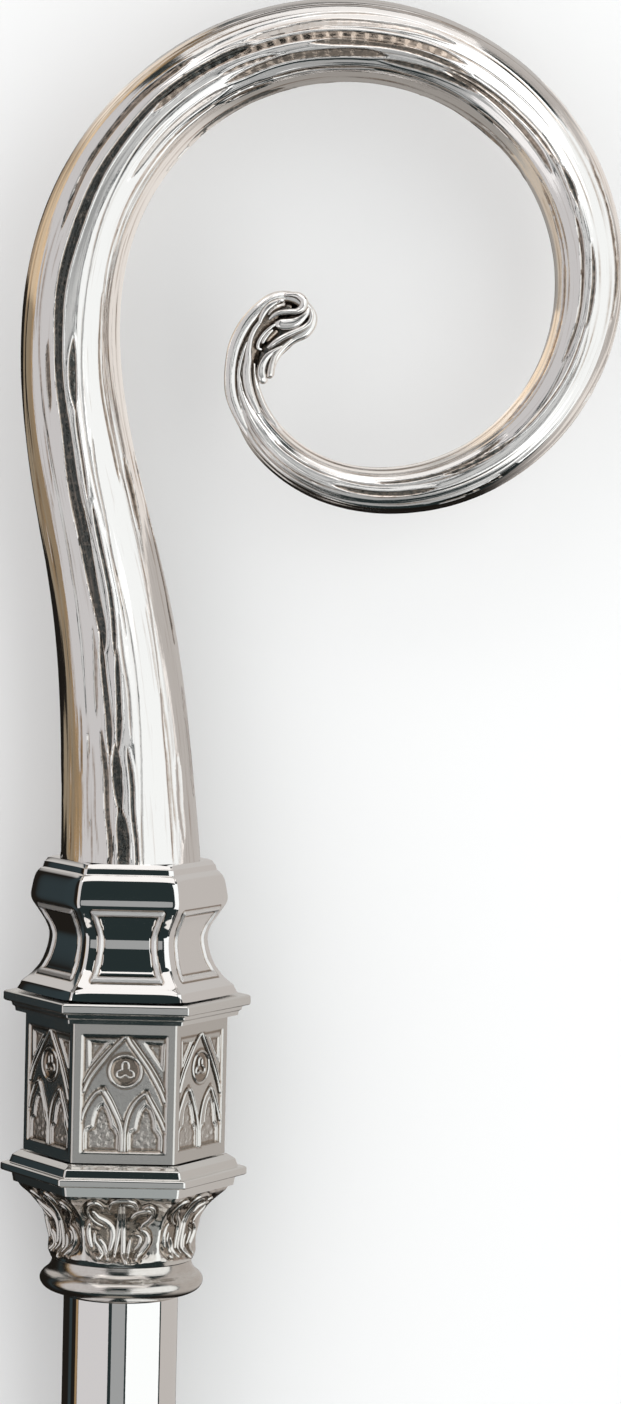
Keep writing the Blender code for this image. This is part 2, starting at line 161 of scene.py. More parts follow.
# ---------------------------------------------------------------- meshes

def new_piece(name, points, faces, tones=None):
    """A mesh object from points in the staff's frame. tones are named values, one to a point."""
    mesh = bpy.data.meshes.new(name)
    mesh.from_pydata(np.asarray(points, float).reshape(-1, 3).tolist(), [], faces)
    for tone, values in (tones or {}).items():
        values = np.asarray(values, np.float32)
        kind, field = ("FLOAT_VECTOR", "vector") if values.shape[-1:] == (3,) else ("FLOAT", "value")
        layer = mesh.attributes.new(tone, kind, "POINT")
        layer.data.foreach_set(field, values.ravel())
    piece = bpy.data.objects.new(name, mesh)
    bpy.context.scene.collection.objects.link(piece)
    return piece


def grid_faces(rows, columns, closed=False, start=0):
    """Four-sided faces of a grid of points. A closed grid joins its last column to its first."""
    index = start + np.arange(rows * columns).reshape(rows, columns)
    right = np.roll(index, -1, axis=1) if closed else index[:, 1:]
    left = index if closed else index[:, :-1]
    return np.stack([left[:-1], right[:-1], right[1:], left[1:]], axis=-1).reshape(-1, 4).tolist()


NO_LENGTH = 1e-6  # an edge as short as this is dissolved
AXIS_WELD = 0.001  # joins the points where a turned piece meets its axis
SEAM_WELD = 0.004  # joins the faces set round the staff
SHARP = 40  # degrees between two faces from which the edge between them is left sharp


def finish_piece(piece, finish, nodes, sharp=SHARP, merge=0.0):
    """Carry a piece from the staff's frame onto the model, shade it, hide the solids that it replaces and
    return it.

    finish is a material and its slot, and the slot is not used; nodes are the solids that the piece stands
    for.
    """
    mesh = piece.data
    tools = bmesh.new()
    tools.from_mesh(mesh)
    if merge:
        bmesh.ops.remove_doubles(tools, verts=tools.verts, dist=merge)
    bmesh.ops.dissolve_degenerate(tools, edges=tools.edges, dist=NO_LENGTH)
    bmesh.ops.recalc_face_normals(tools, faces=tools.faces)
    tools.to_mesh(mesh)
    tools.free()
    mesh.transform(STAFF)
    material, slot = finish
    mesh.materials.clear()
    mesh.materials.append(material)
    mesh.shade_smooth()
    mesh.set_sharp_from_angle(angle=math.radians(sharp))
    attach(piece, "root")
    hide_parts(*nodes)
    return piece


def ring_tree():
    """Geometry nodes that set copies of one face round the staff and weld them together."""
    tree = bpy.data.node_groups.new("faces round the staff", "GeometryNodeTree")
    tree.is_modifier = True
    for name, kind in (("Face", "Geometry"), ("Count", "Int"), ("Weld", "Float"), ("Finish", "Material")):
        tree.interface.new_socket(name, in_out="INPUT", socket_type="NodeSocket" + kind)
    tree.interface.new_socket("Piece", in_out="OUTPUT", socket_type="NodeSocketGeometry")

    def node(kind, **settings):
        made = tree.nodes.new(kind)
        for key, value in settings.items():
            setattr(made, key, value)
        return made

    given = node("NodeGroupInput")
    places = node("GeometryNodeMeshLine", mode="OFFSET")
    places.inputs["Offset"].default_value = (0, 0, 0)
    number = node("GeometryNodeInputIndex")
    share = node("ShaderNodeMath", operation="DIVIDE")
    angle = node("ShaderNodeMath", operation="MULTIPLY")
    angle.inputs[1].default_value = math.tau
    turn = node("ShaderNodeCombineXYZ")
    turned = node("FunctionNodeEulerToRotation")
    copies = node("GeometryNodeInstanceOnPoints")
    real = node("GeometryNodeRealizeInstances")
    weld = node("GeometryNodeMergeByDistance")
    coat = node("GeometryNodeSetMaterial")
    made = node("NodeGroupOutput")
    for source, target in (
        (given.outputs["Count"], places.inputs["Count"]),
        (number.outputs[0], share.inputs[0]),
        (given.outputs["Count"], share.inputs[1]),
        (share.outputs[0], angle.inputs[0]),
        (angle.outputs[0], turn.inputs["Y"]),
        (turn.outputs[0], turned.inputs[0]),
        (places.outputs[0], copies.inputs["Points"]),
        (given.outputs["Face"], copies.inputs["Instance"]),
        (turned.outputs[0], copies.inputs["Rotation"]),
        (copies.outputs[0], real.inputs[0]),
        (real.outputs[0], weld.inputs["Geometry"]),
        (given.outputs["Weld"], weld.inputs["Distance"]),
        (weld.outputs[0], coat.inputs["Geometry"]),
        (given.outputs["Finish"], coat.inputs["Material"]),
        (coat.outputs[0], made.inputs[0]),
    ):
        tree.links.new(source, target)
    return tree


def set_round(face, finish, nodes, sharp=SHARP):
    """Repeat a face round the staff's axis and make the closed piece that replaces the nodes."""
    values = {"Count": FACES, "Weld": SEAM_WELD, "Finish": finish[0]}
    modifier = face.modifiers.new("round the staff", "NODES")
    modifier.node_group = RING_TREE
    for socket in RING_TREE.interface.items_tree:
        if socket.in_out == "INPUT" and socket.name in values:
            modifier[socket.identifier] = values[socket.name]
    graph = bpy.context.evaluated_depsgraph_get()
    made = bpy.data.meshes.new_from_object(face.evaluated_get(graph))
    face.modifiers.clear()
    name = face.name
    bpy.data.objects.remove(face)
    piece = bpy.data.objects.new(name, made)
    bpy.context.scene.collection.objects.link(piece)
    return finish_piece(piece, finish, nodes, sharp)


STRAND_TOP = 15  # points over a strand's top
STRAND_UNDER = 6  # and round its underside
STRAND_SPACING = 0.22
STRAND_GRAIN = 0.045  # height of the fine grain along a strand
FIRST_STRAND_SEED = 50


def strand_points(number, wall, rise, route, ridge=0.0, ground=None, columns=STRAND_TOP,
                  spacing=STRAND_SPACING):
    """A closed tube along a route of (x, y, height of its crest, half width).

    Its top is round, or like a roof where ridge is 1, on straight walls. rise is the height of the
    top per half width, and ground gives the height that the crest is measured from.
    """
    path = through(route, spacing=spacing)
    middle, crest, half = path[:, :2], path[:, 2:3], path[:, 3:4]
    if ground is not None:
        crest = crest + ground(middle[:, :1], middle[:, 1:])
    way = np.gradient(middle, axis=0)
    way /= np.linalg.norm(way, axis=1, keepdims=True)
    run = np.concatenate([[0], np.cumsum(np.linalg.norm(np.diff(middle, axis=0), axis=1))])[:, None]
    to_end = np.minimum(run, run[-1] - run)
    near = np.clip(to_end / np.maximum(half, 0.2), 0.02, 1)
    ends = np.sqrt(1 - (1 - near) ** 2)
    top = np.linspace(-math.pi / 2, math.pi / 2, columns)
    under = np.linspace(math.pi / 2, 3 * math.pi / 2, STRAND_UNDER)
    angle = np.concatenate([top, under])
    side = half * ends * np.sin(angle)
    drop = np.where(np.arange(len(angle)) < columns, 0, wall)
    over = (1 - ridge) * np.cos(angle) + ridge * (1 - np.abs(np.sin(angle)))
    shape = np.where(drop > 0, np.cos(angle), over)
    height = crest - rise * half * (1 - ends * shape) - drop
    straight = np.stack(np.broadcast_arrays(side * 1.5, 9.0 * number, run), axis=-1)
    grain = lumps(straight * (1, 1, 0.07), 0.5, FIRST_STRAND_SEED + number)
    height = height + STRAND_GRAIN * np.minimum(half, 1) * grain * np.cos(angle).clip(0)
    across = np.stack([way[:, 1], -way[:, 0]], axis=1)
    points = np.empty((*side.shape, 3))
    points[..., :2] = middle[:, None] + across[:, None] * side[..., None]
    points[..., 2] = height
    return points, straight, np.broadcast_to(1 - np.cos(angle).clip(0), side.shape)


def strand_mesh(name, strands, **shape):
    """One mesh of many strands, each given as (wall, rise, matte, hollow, route)."""
    points, straights, mattes, hollows, faces = [], [], [], [], []
    count = 0
    for number, (wall, rise, matte, hollow, route) in enumerate(strands):
        strand, straight, steep = strand_points(number, wall, rise, route, **shape)
        rows, columns = steep.shape
        faces += grid_faces(rows, columns, closed=True, start=count)
        faces.append(list(range(count, count + columns))[::-1])
        faces.append(list(range(count + (rows - 1) * columns, count + rows * columns)))
        count += rows * columns
        points.append(strand.reshape(-1, 3))
        straights.append(straight.reshape(-1, 3))
        mattes.append(np.full(rows * columns, matte))
        hollows.append(np.maximum(hollow, ramp(steep.ravel(), 0.6, 1.0) * 0.7))
    tones = {"matte": np.concatenate(mattes), "hollow": np.concatenate(hollows),
             "straight": np.vstack(straights)}
    return new_piece(name, np.vstack(points), faces, tones)


LEAST_BEND = 24  # degrees, below which a profile's corner is left as it is
SUPPORT = 0.2  # how far the support points stand off, as a share of what is cut from a corner
CORNER_STEPS = 4


def softened(outline, reach=0.22):
    """Round every sharp corner of a profile, with a support point each side of it."""
    outline = np.array(outline, float)
    points = [outline[0]]
    for before, here, after in zip(outline[:-2], outline[1:-1], outline[2:]):
        back = before - here
        ahead = after - here
        lengths = np.linalg.norm(back), np.linalg.norm(ahead)
        bend = math.degrees(math.acos(np.clip(-(back @ ahead) / (lengths[0] * lengths[1]), -1, 1)))
        if bend < LEAST_BEND:
            points.append(here)
            continue
        cut = min(reach, 0.4 * min(lengths))
        start = here + back / lengths[0] * cut
        end = here + ahead / lengths[1] * cut
        points.append(start + back / lengths[0] * cut * SUPPORT)
        for share in np.linspace(0, 1, CORNER_STEPS):
            points.append(start * (1 - share) ** 2 + here * 2 * share * (1 - share) + end * share ** 2)
        points.append(end + ahead / lengths[1] * cut * SUPPORT)
    points.append(outline[-1])
    return np.array(points)


def filled(outline, spacing):
    """Add points so that no step of a profile is longer than spacing."""
    points = [outline[:1]]
    for start, end in zip(outline[:-1], outline[1:]):
        steps = max(1, math.ceil(np.linalg.norm(end - start) / spacing))
        share = np.linspace(0, 1, steps + 1)[1:, None]
        points.append(start + (end - start) * share)
    return np.vstack(points)


STREAKS_ALONG = 3  # how fast a turned piece's fine streaks change along its profile
STREAKS_ROUND = 90  # and, after the finish has drawn them out, round its axis


def turned_piece(name, outline, finish, nodes, sides=ROUND_SIDES, stain=0.0):
    """A lathe-turned piece from a profile of (radius, height) that starts and ends on the axis."""
    radius, height = outline[:, :1], outline[:, 1:2]
    angle = np.linspace(0, math.tau, sides, endpoint=False)
    points = np.broadcast_arrays(radius * np.cos(angle), height, radius * np.sin(angle))
    streaks = np.broadcast_arrays(radius * STREAKS_ALONG, height * STREAKS_ALONG,
                                  STREAKS_ROUND * np.sin(angle))
    tones = {"straight": np.stack(streaks, axis=-1), "hollow": np.full(points[0].shape, stain)}
    faces = grid_faces(len(outline), sides, closed=True)
    piece = new_piece(name, np.stack(points, axis=-1), faces, tones)
    return finish_piece(piece, finish, nodes, merge=AXIS_WELD)


EDGE_STEPS = 4  # columns round each half of a knop's rounded edge
ROUND_SPREAD = 0.6  # how far the columns even out where a face turns round


def face_columns(count):
    """Columns across a six-sided piece's face, as (share of half the face, edge's turn)."""
    turns = np.linspace(0, HALF_FACE, EDGE_STEPS + 1)
    flat = np.linspace(-1, 1, count)
    share = np.concatenate([-np.ones(EDGE_STEPS), flat, np.ones(EDGE_STEPS)])
    turn = np.concatenate([-turns[:0:-1], np.zeros(count), turns[1:]])
    return share, turn


def six_sided_face(outline, columns, corner, roundness=None):
    """One face of a six-sided piece: points, outward ways and (across, height) of each place.

    outline has the corner radius and height of each level. corner is the radius of the rounded
    edge, and roundness blends a level from the hexagon (0) to a full circle (1).
    """
    share, turn = columns
    radius = outline[:, :1]
    height = np.broadcast_to(outline[:, 1:2], (len(outline), len(share)))
    fillet = np.minimum(corner, radius * 0.5)
    straight = radius / 2 - fillet * math.tan(HALF_FACE)
    sideways = share * straight + fillet * np.sin(turn)
    outward = radius * math.cos(HALF_FACE) - fillet * (1 - np.cos(turn))
    if roundness is not None:
        angle = np.arctan2(sideways, outward)
        reach = np.hypot(sideways, outward)
        blend = roundness[:, None]
        even = np.linspace(-HALF_FACE, HALF_FACE, len(share))[None, :]
        angle = angle + (even - angle) * blend * ROUND_SPREAD
        reach = reach + (radius - reach) * blend
        sideways = reach * np.sin(angle)
        outward = reach * np.cos(angle)
    points = np.stack([sideways, height, outward], axis=-1)
    ways = np.cross(np.gradient(points, axis=0), np.gradient(points, axis=1))
    for column, side in ((0, -1), (-1, 1)):
        # no relief moves a seam off the plane that it shares with the next face
        seam = np.array([math.cos(HALF_FACE), 0, -side * math.sin(HALF_FACE)])
        ways[:, column] -= (ways[:, column] @ seam)[:, None] * seam
    ways /= np.maximum(np.linalg.norm(ways, axis=-1, keepdims=True), 1e-9)
    return points, ways, sideways, height


def six_sided_piece(name, outline, finish, nodes, columns, corner, relief=None, roundness=None,
                    sharp=SHARP):
    """A six-sided piece from a profile of (corner radius, height) that starts and ends on the axis.

    relief gives lift, matte and hollow from the place across, the height and half the face's width.
    """
    blend = None if roundness is None else roundness(outline[:, 1])
    points, ways, across, height = six_sided_face(outline, face_columns(columns), corner, blend)
    tones = {"matte": np.zeros(across.shape), "hollow": np.zeros(across.shape)}
    if relief is not None:
        lift, tones["matte"], tones["hollow"] = relief(across, height, outline[:, :1] / 2)
        points = points + ways * lift[..., None]
    face = new_piece(name, points, grid_faces(*across.shape), tones)
    return set_round(face, finish, nodes, sharp)


# ---------------------------------------------------------------- materials

class Wiring:
    """Short words for making and joining the nodes of one material or world."""

    def __init__(self, tree):
        self.tree = tree

    def node(self, kind, inputs=(), **settings):
        """A node, with its first inputs joined to sockets or set to numbers."""
        made = self.tree.nodes.new(kind)
        for key, value in settings.items():
            setattr(made, key, value)
        for socket, value in zip(made.inputs, inputs):
            if isinstance(value, bpy.types.NodeSocket):
                self.tree.links.new(value, socket)
            else:
                socket.default_value = value
        return made

    def noise(self, place, scale, detail):
        """A cloudy pattern between 0 and 1."""
        made = self.node("ShaderNodeTexNoise", (place,))
        made.inputs["Scale"].default_value = scale
        made.inputs["Detail"].default_value = detail
        return made.outputs["Fac"]

    def tone(self, attribute, output="Fac"):
        """The value that a piece gives each of its points."""
        return self.node("ShaderNodeAttribute", attribute_name=attribute).outputs[output]

    def scaled(self, value, start, end, low, high, smooth=False):
        """A value carried from the range between start and end to that between low and high."""
        kind = "SMOOTHSTEP" if smooth else "LINEAR"
        return self.node("ShaderNodeMapRange", (value, start, end, low, high),
                         interpolation_type=kind).outputs[0]

    def sum(self, first, second):
        return self.node("ShaderNodeMath", (first, second), operation="ADD").outputs[0]

    def times(self, first, second):
        return self.node("ShaderNodeMath", (first, second), operation="MULTIPLY").outputs[0]

    def mixed(self, share, first, second):
        """The first of two colours where share is 0, the second where it is 1."""
        made = self.node("ShaderNodeMix", data_type="RGBA")
        for name, value in (("Factor", share), ("A", first), ("B", second)):
            socket = next(one for one in made.inputs
                          if one.name == name and one.type == ("VALUE" if name == "Factor" else "RGBA"))
            if isinstance(value, bpy.types.NodeSocket):
                self.tree.links.new(value, socket)
            else:
                socket.default_value = (*value, 1)
        return next(one for one in made.outputs if one.type == "RGBA")

    def raised(self, height, depth, below=None):
        """A bump of depth mm on top of the one below."""
        made = self.node("ShaderNodeBump")
        made.inputs["Distance"].default_value = depth * MM
        self.tree.links.new(height, made.inputs["Height"])
        if below is not None:
            self.tree.links.new(below, made.inputs["Normal"])
        return made.outputs["Normal"]


# Repeats of each pattern in a metre
CLOUD_SCALE = 90.0
MOTTLE_SCALE = 900.0
STIPPLE_SCALE = 1150.0
SCRATCH_SCALE = 1400.0
# Repeats of the streaks in a mm across them, and how much slower they change along them
STREAK_SCALE = 1.7
STREAK_STRETCH = 0.03
CLOUD_SPAN = (0.7, 1.35)  # between which shares of itself the clouds vary a roughness


def silver(name, colour, roughness, matte=0.0, tarnish=(), scratches=0.0, stipple=0.0, streaks=0.0):
    """Silver plate, never quite even, with what wear and tarnish leave on it.

    matte roughens the places that a piece marks matte, and tarnish tints its hollows. scratches,
    stipple and streaks are the depths in mm of three kinds of fine relief.
    """
    material = bpy.data.materials.new(name)
    material.use_nodes = True
    wiring = Wiring(material.node_tree)
    shader = material.node_tree.nodes["Principled BSDF"]
    shader.inputs["Metallic"].default_value = 1.0
    shader.inputs["Base Color"].default_value = (*colour, 1)
    link = material.node_tree.links.new
    place = wiring.node("ShaderNodeTexCoord").outputs["Object"]
    cloud = wiring.noise(place, CLOUD_SCALE, 3.0)
    smoothest, roughest = (roughness * share for share in CLOUD_SPAN)
    rough = wiring.scaled(cloud, 0.3, 0.7, smoothest, roughest)
    if matte:
        rough = wiring.sum(rough, wiring.times(wiring.tone("matte"), matte))
    link(rough, shader.inputs["Roughness"])
    coat = colour
    if tarnish:
        mottle = wiring.noise(place, MOTTLE_SCALE, 4.0)
        share = wiring.times(wiring.tone("hollow"), wiring.scaled(mottle, 0.38, 0.62, 0.75, 1.0))
        coat = wiring.mixed(wiring.scaled(share, 0.0, 0.45, 0.0, 1.0), coat, STAIN)
        coat = wiring.mixed(wiring.scaled(share, 0.40, 0.85, 0.0, 1.0), coat, tarnish)
    bump = None
    if streaks:
        stretch = wiring.node("ShaderNodeMapping", (wiring.tone("straight", "Vector"),))
        stretch.inputs["Scale"].default_value = (1.0, 1.0, STREAK_STRETCH)
        grain = wiring.noise(stretch.outputs[0], STREAK_SCALE, 4.0)
        lines = wiring.times(wiring.scaled(grain, 0.56, 0.72, 0.0, 0.55, smooth=True), cloud)
        coat = wiring.mixed(lines, coat, STAIN)
        bump = wiring.raised(grain, streaks)
    if coat is not colour:
        link(coat, shader.inputs["Base Color"])
    if scratches:
        bump = wiring.raised(wiring.noise(place, SCRATCH_SCALE, 3.0), scratches, bump)
    if stipple:
        grains = wiring.noise(place, STIPPLE_SCALE, 2.0)
        bump = wiring.raised(wiring.times(grains, wiring.tone("matte")), stipple, bump)
    if bump:
        link(bump, shader.inputs["Normal"])
    return material


BRIGHT = (0.94, 0.925, 0.915)
STAIN = (0.42, 0.34, 0.28)
TARNISH = (0.30, 0.28, 0.245)
DARK_TARNISH = (0.085, 0.09, 0.086)

# Each finish is a material and the slot that it goes by.
BARK = (silver("bark silver", (0.87, 0.85, 0.835), 0.10, matte=0.05, tarnish=DARK_TARNISH,
               streaks=0.035, stipple=0.16), "bark_silver")
MIRROR = (silver("mirror silver", BRIGHT, 0.04, matte=0.42, tarnish=TARNISH), "polished_silver")
CORNICE = (silver("buffed silver", (0.86, 0.85, 0.83), 0.17, scratches=0.004), "polished_silver")
LOWER_POLISH = (silver("lower cornice silver", (0.88, 0.87, 0.85), 0.085, scratches=0.004),
                "polished_silver")
MATTED = (silver("matted silver", (0.72, 0.70, 0.67), 0.16, matte=0.24, tarnish=TARNISH,
                 stipple=0.3), "matted_silver")
CARVED = (silver("carved silver", (0.88, 0.86, 0.83), 0.11, matte=0.20, tarnish=TARNISH,
                 stipple=0.15), "carved_silver")
TURNED = (silver("turned silver", (0.84, 0.82, 0.79), 0.13, tarnish=TARNISH, streaks=0.03),
          "polished_silver")
SHAFT = (silver("shaft silver", BRIGHT, 0.025, scratches=0.0015), "shaft_silver")

RING_TREE = ring_tree()


# ---------------------------------------------------------------- the crook

CROOK_STATIONS = (
    # distance along the bar, bend to the left per mm, half width, half depth
    (0, 0, 17.1, 17.1),
    (60, 1 / 230, 14.3, 14.3),
    (120, -1 / 124, 12.3, 12.3),
    (160, -1 / 68, 11.2, 11.2),
    (250, -1 / 62, 9.8, 9.8),
    (330, -1 / 54, 8.3, 8.3),
    (400, -1 / 48, 5.9, 5.9),
    (455, -1 / 28, 4.1, 4.2),
    (474, -1 / 9, 3.3, 4.2),
    (480, -1 / 5.8, 2.9, 4.6),
)
CROOK_START = math.radians(93)
LINE_STEP = 0.05
SQUARE_END = 6.0  # over this length the bar's rings turn from level to square with its line
BAR_END = 460.0
FINE_END = 290.0  # from here on the bar has half as many columns
FINE_COLUMNS = 208
RING_STEP = 0.8
FRONT_CROWDING = 0.55  # how much closer the columns lie on the side that faces up


def crook_line(distance):
    """Centre (x, y) and heading of the crook at each distance along it."""
    stations = np.array(CROOK_STATIONS, float)
    stops = np.arange(0, stations[-1, 0] + LINE_STEP, LINE_STEP)
    bend = np.interp(stops[:-1] + LINE_STEP / 2, stations[:, 0], stations[:, 1])
    heading = CROOK_START + np.concatenate([[0], np.cumsum(bend * LINE_STEP)])
    middle = (heading[:-1] + heading[1:]) / 2
    across = np.concatenate([[0], np.cumsum(np.cos(middle) * LINE_STEP)])
    up = np.concatenate([[0], np.cumsum(np.sin(middle) * LINE_STEP)])
    return [np.interp(distance, stops, values) for values in (across, up, heading)]


def crook_widths(distance):
    """Half width and half depth of the crook at each distance along it."""
    stations = np.array(CROOK_STATIONS, float)
    return eased(distance, stations[:, 0], stations[:, 2]), eased(distance, stations[:, 0], stations[:, 3])


def crook_place(distance, angle, lift):
    """Points of the bar's surface. angle turns from the upper side towards the crook's inner side."""
    across, up, heading = crook_line(distance)
    heading = math.pi / 2 + (heading - math.pi / 2) * ramp(distance, 0, SQUARE_END)
    half_width, half_depth = crook_widths(distance)
    side = np.sin(angle) * (half_width + lift)
    return np.stack(np.broadcast_arrays(across + np.sin(heading) * side, up - np.cos(heading) * side,
                                        np.cos(angle) * (half_depth + lift)), axis=-1)


# Grooves on the side that faces up: start and end along the bar, place across it at the start and
# the end (-1 outer edge, 1 inner edge), half width, depth, ripple, and how matte the floor is.
BAR_GROOVES = (
    (-5, 14, -0.09, -0.12, 1.50, 0.50, 0.03, 1.0),
    (12, 29, -0.12, -0.16, 1.10, 0.50, 0.03, 1.0),
    (26, 56, -0.24, -0.215, 0.75, 0.50, 0.03, 1.0),
    (52, 214, -0.205, -0.20, 1.35, 0.50, 0.03, 1.0),
    (27, 52, -0.09, 0.00, 0.80, 0.40, 0.16, 0.9),
    (50, 87, 0.00, 0.065, 0.60, 0.35, 0.12, 0.9),
    (-5, 28, 0.10, 0.05, 0.50, 0.35, 0.08, 0.9),
    (-5, 33, -0.285, -0.33, 0.60, 0.35, 0.00, 0.6),
    (36, 58, -0.42, -0.34, 0.50, 0.18, 0.00, 0.0),
    (110, 127, -0.43, -0.41, 0.75, 0.28, 0.00, 0.5),
    (4, 36, -0.57, -0.55, 0.28, 0.15, 0.00, 0.0),
    (2, 30, -0.46, -0.47, 0.28, 0.15, 0.00, 0.0),
    (88, 109, -0.585, -0.575, 0.28, 0.16, 0.00, 0.0),
    (30, 60, 0.10, 0.13, 0.28, 0.14, 0.00, 0.0),
    (54, 104, 0.17, 0.30, 0.30, 0.14, 0.00, 0.0),
    (3, 27, 0.63, 0.66, 0.35, 0.18, 0.00, 0.0),
    (40, 62, 0.60, 0.56, 0.30, 0.16, 0.00, 0.0),
    (78, 97, 0.80, 0.79, 1.00, 0.28, 0.05, 0.5),
    (4, 25, 0.80, 0.78, 0.75, 0.25, 0.00, 0.0),
    (110, 127, 0.065, 0.10, 0.95, 0.35, 0.08, 0.9),
    (88, 112, 0.02, 0.05, 0.40, 0.20, 0.00, 0.4),
    (90, 140, 0.62, 0.60, 0.40, 0.18, 0.00, 0.2),
    (152, 201, -0.50, -0.52, 0.80, 0.32, 0.04, 0.35),
    (186, 266, -0.10, -0.07, 1.30, 0.40, 0.12, 0.35),
    (213, 262, -0.33, -0.42, 1.10, 0.35, 0.05, 0.15),
    (204, 220, 0.16, 0.22, 0.60, 0.28, 0.20, 0.4),
    (205, 247, 0.37, 0.36, 1.30, 0.40, 0.06, 0.45),
    (170, 205, 0.44, 0.46, 1.00, 0.30, 0.00, 0.1),
    (202, 216, 0.75, 0.76, 0.70, 0.25, 0.00, 0.4),
    (228, 268, 0.08, 0.10, 1.00, 0.30, 0.08, 0.5),
    (246, 272, 0.48, 0.40, 0.90, 0.35, 0.03, 0.6),
    (150, 200, 0.68, 0.62, 0.35, 0.16, 0.00, 0.1),
    (215, 290, 0.66, 0.72, 0.45, 0.22, 0.00, 0.3),
    (262, 300, 0.30, 0.36, 1.10, 0.30, 0.02, 0.4),
    (301, 337, -0.72, -0.72, 0.80, 0.30, 0.08, 0.6),
    (300, 310, 0.05, 0.06, 1.10, 0.35, 0.04, 0.8),
    (262, 299, 0.22, 0.10, 0.55, 0.25, 0.02, 0.3),
    (312, 350, 0.22, 0.34, 0.80, 0.32, 0.03, 0.5),
    (320, 340, -0.05, 0.00, 0.70, 0.30, 0.03, 0.6),
    (337, 371, 0.05, 0.14, 0.45, 0.25, 0.00, 0.3),
    (372, 393, 0.20, 0.26, 0.90, 0.40, 0.14, 0.7),
    (374, 410, 0.42, 0.38, 0.70, 0.35, 0.05, 0.8),
    (395, 420, -0.12, -0.10, 1.70, 0.35, 0.06, 0.6),
    (300, 372, 0.74, 0.78, 0.60, 0.28, 0.03, 0.4),
    (420, 440, 0.25, 0.22, 0.55, 0.30, 0.05, 0.8),
    (375, 398, -0.62, -0.70, 0.50, 0.25, 0.05, 0.5),
    (422, 448, -0.30, -0.35, 0.50, 0.25, 0.04, 0.4),
)
# Edges of the bark's long strips, in degrees round the bar from the side that faces up
STRIP_EDGES = (-142, -118, -97, -76, -57, -33, -14, 13, 42, 66, 92, 121, 148, 176)
STRIP_LIFT = 0.2  # most that a strip stands above or below the bar
STRIP_FADE = 6.0  # over this width the step beside a strip's edge dies away
SEAM_DEPTH = 0.12
SEAM_WIDTH = 0.2
SIDE_GROOVES = 64
FAINT_GROOVES = 70
RIPPLE_STEP = 3.0
TAPER_LENGTH = 7.0
LIP_HEIGHT = 0.10  # of the burr that a groove's chisel raised beside it
LEAF_COVER = 1.3  # how much the bar's end is sunk where the leaf covers it
BARK_SEED = 41


def wrapped(angle):
    """The same angle, between minus and plus half a turn."""
    return (angle + math.pi) % math.tau - math.pi


def random_grooves(rng):
    """Grooves for the outer, inner and lower sides, and faint ones all over, at any angle."""
    grooves = []
    for _ in range(SIDE_GROOVES):
        start = rng.uniform(-10, 430)
        angle = rng.uniform(math.radians(68), math.radians(292))
        half_width = rng.uniform(0.5, 1.5)
        grooves.append((start, start + rng.uniform(14, 60), angle, angle + rng.uniform(-0.08, 0.08),
                        half_width, rng.uniform(0.15, 0.38), rng.choice([0.0, 0.03, 0.1]),
                        rng.choice([0.0, 0.3, 0.8])))
    for _ in range(FAINT_GROOVES):
        start = rng.uniform(-5, 430)
        angle = rng.uniform(0, math.tau)
        grooves.append((start, start + rng.uniform(10, 45), angle, angle + rng.uniform(-0.05, 0.05),
                        rng.uniform(0.22, 0.4), rng.uniform(0.03, 0.09), 0.0, 0.0))
    return grooves


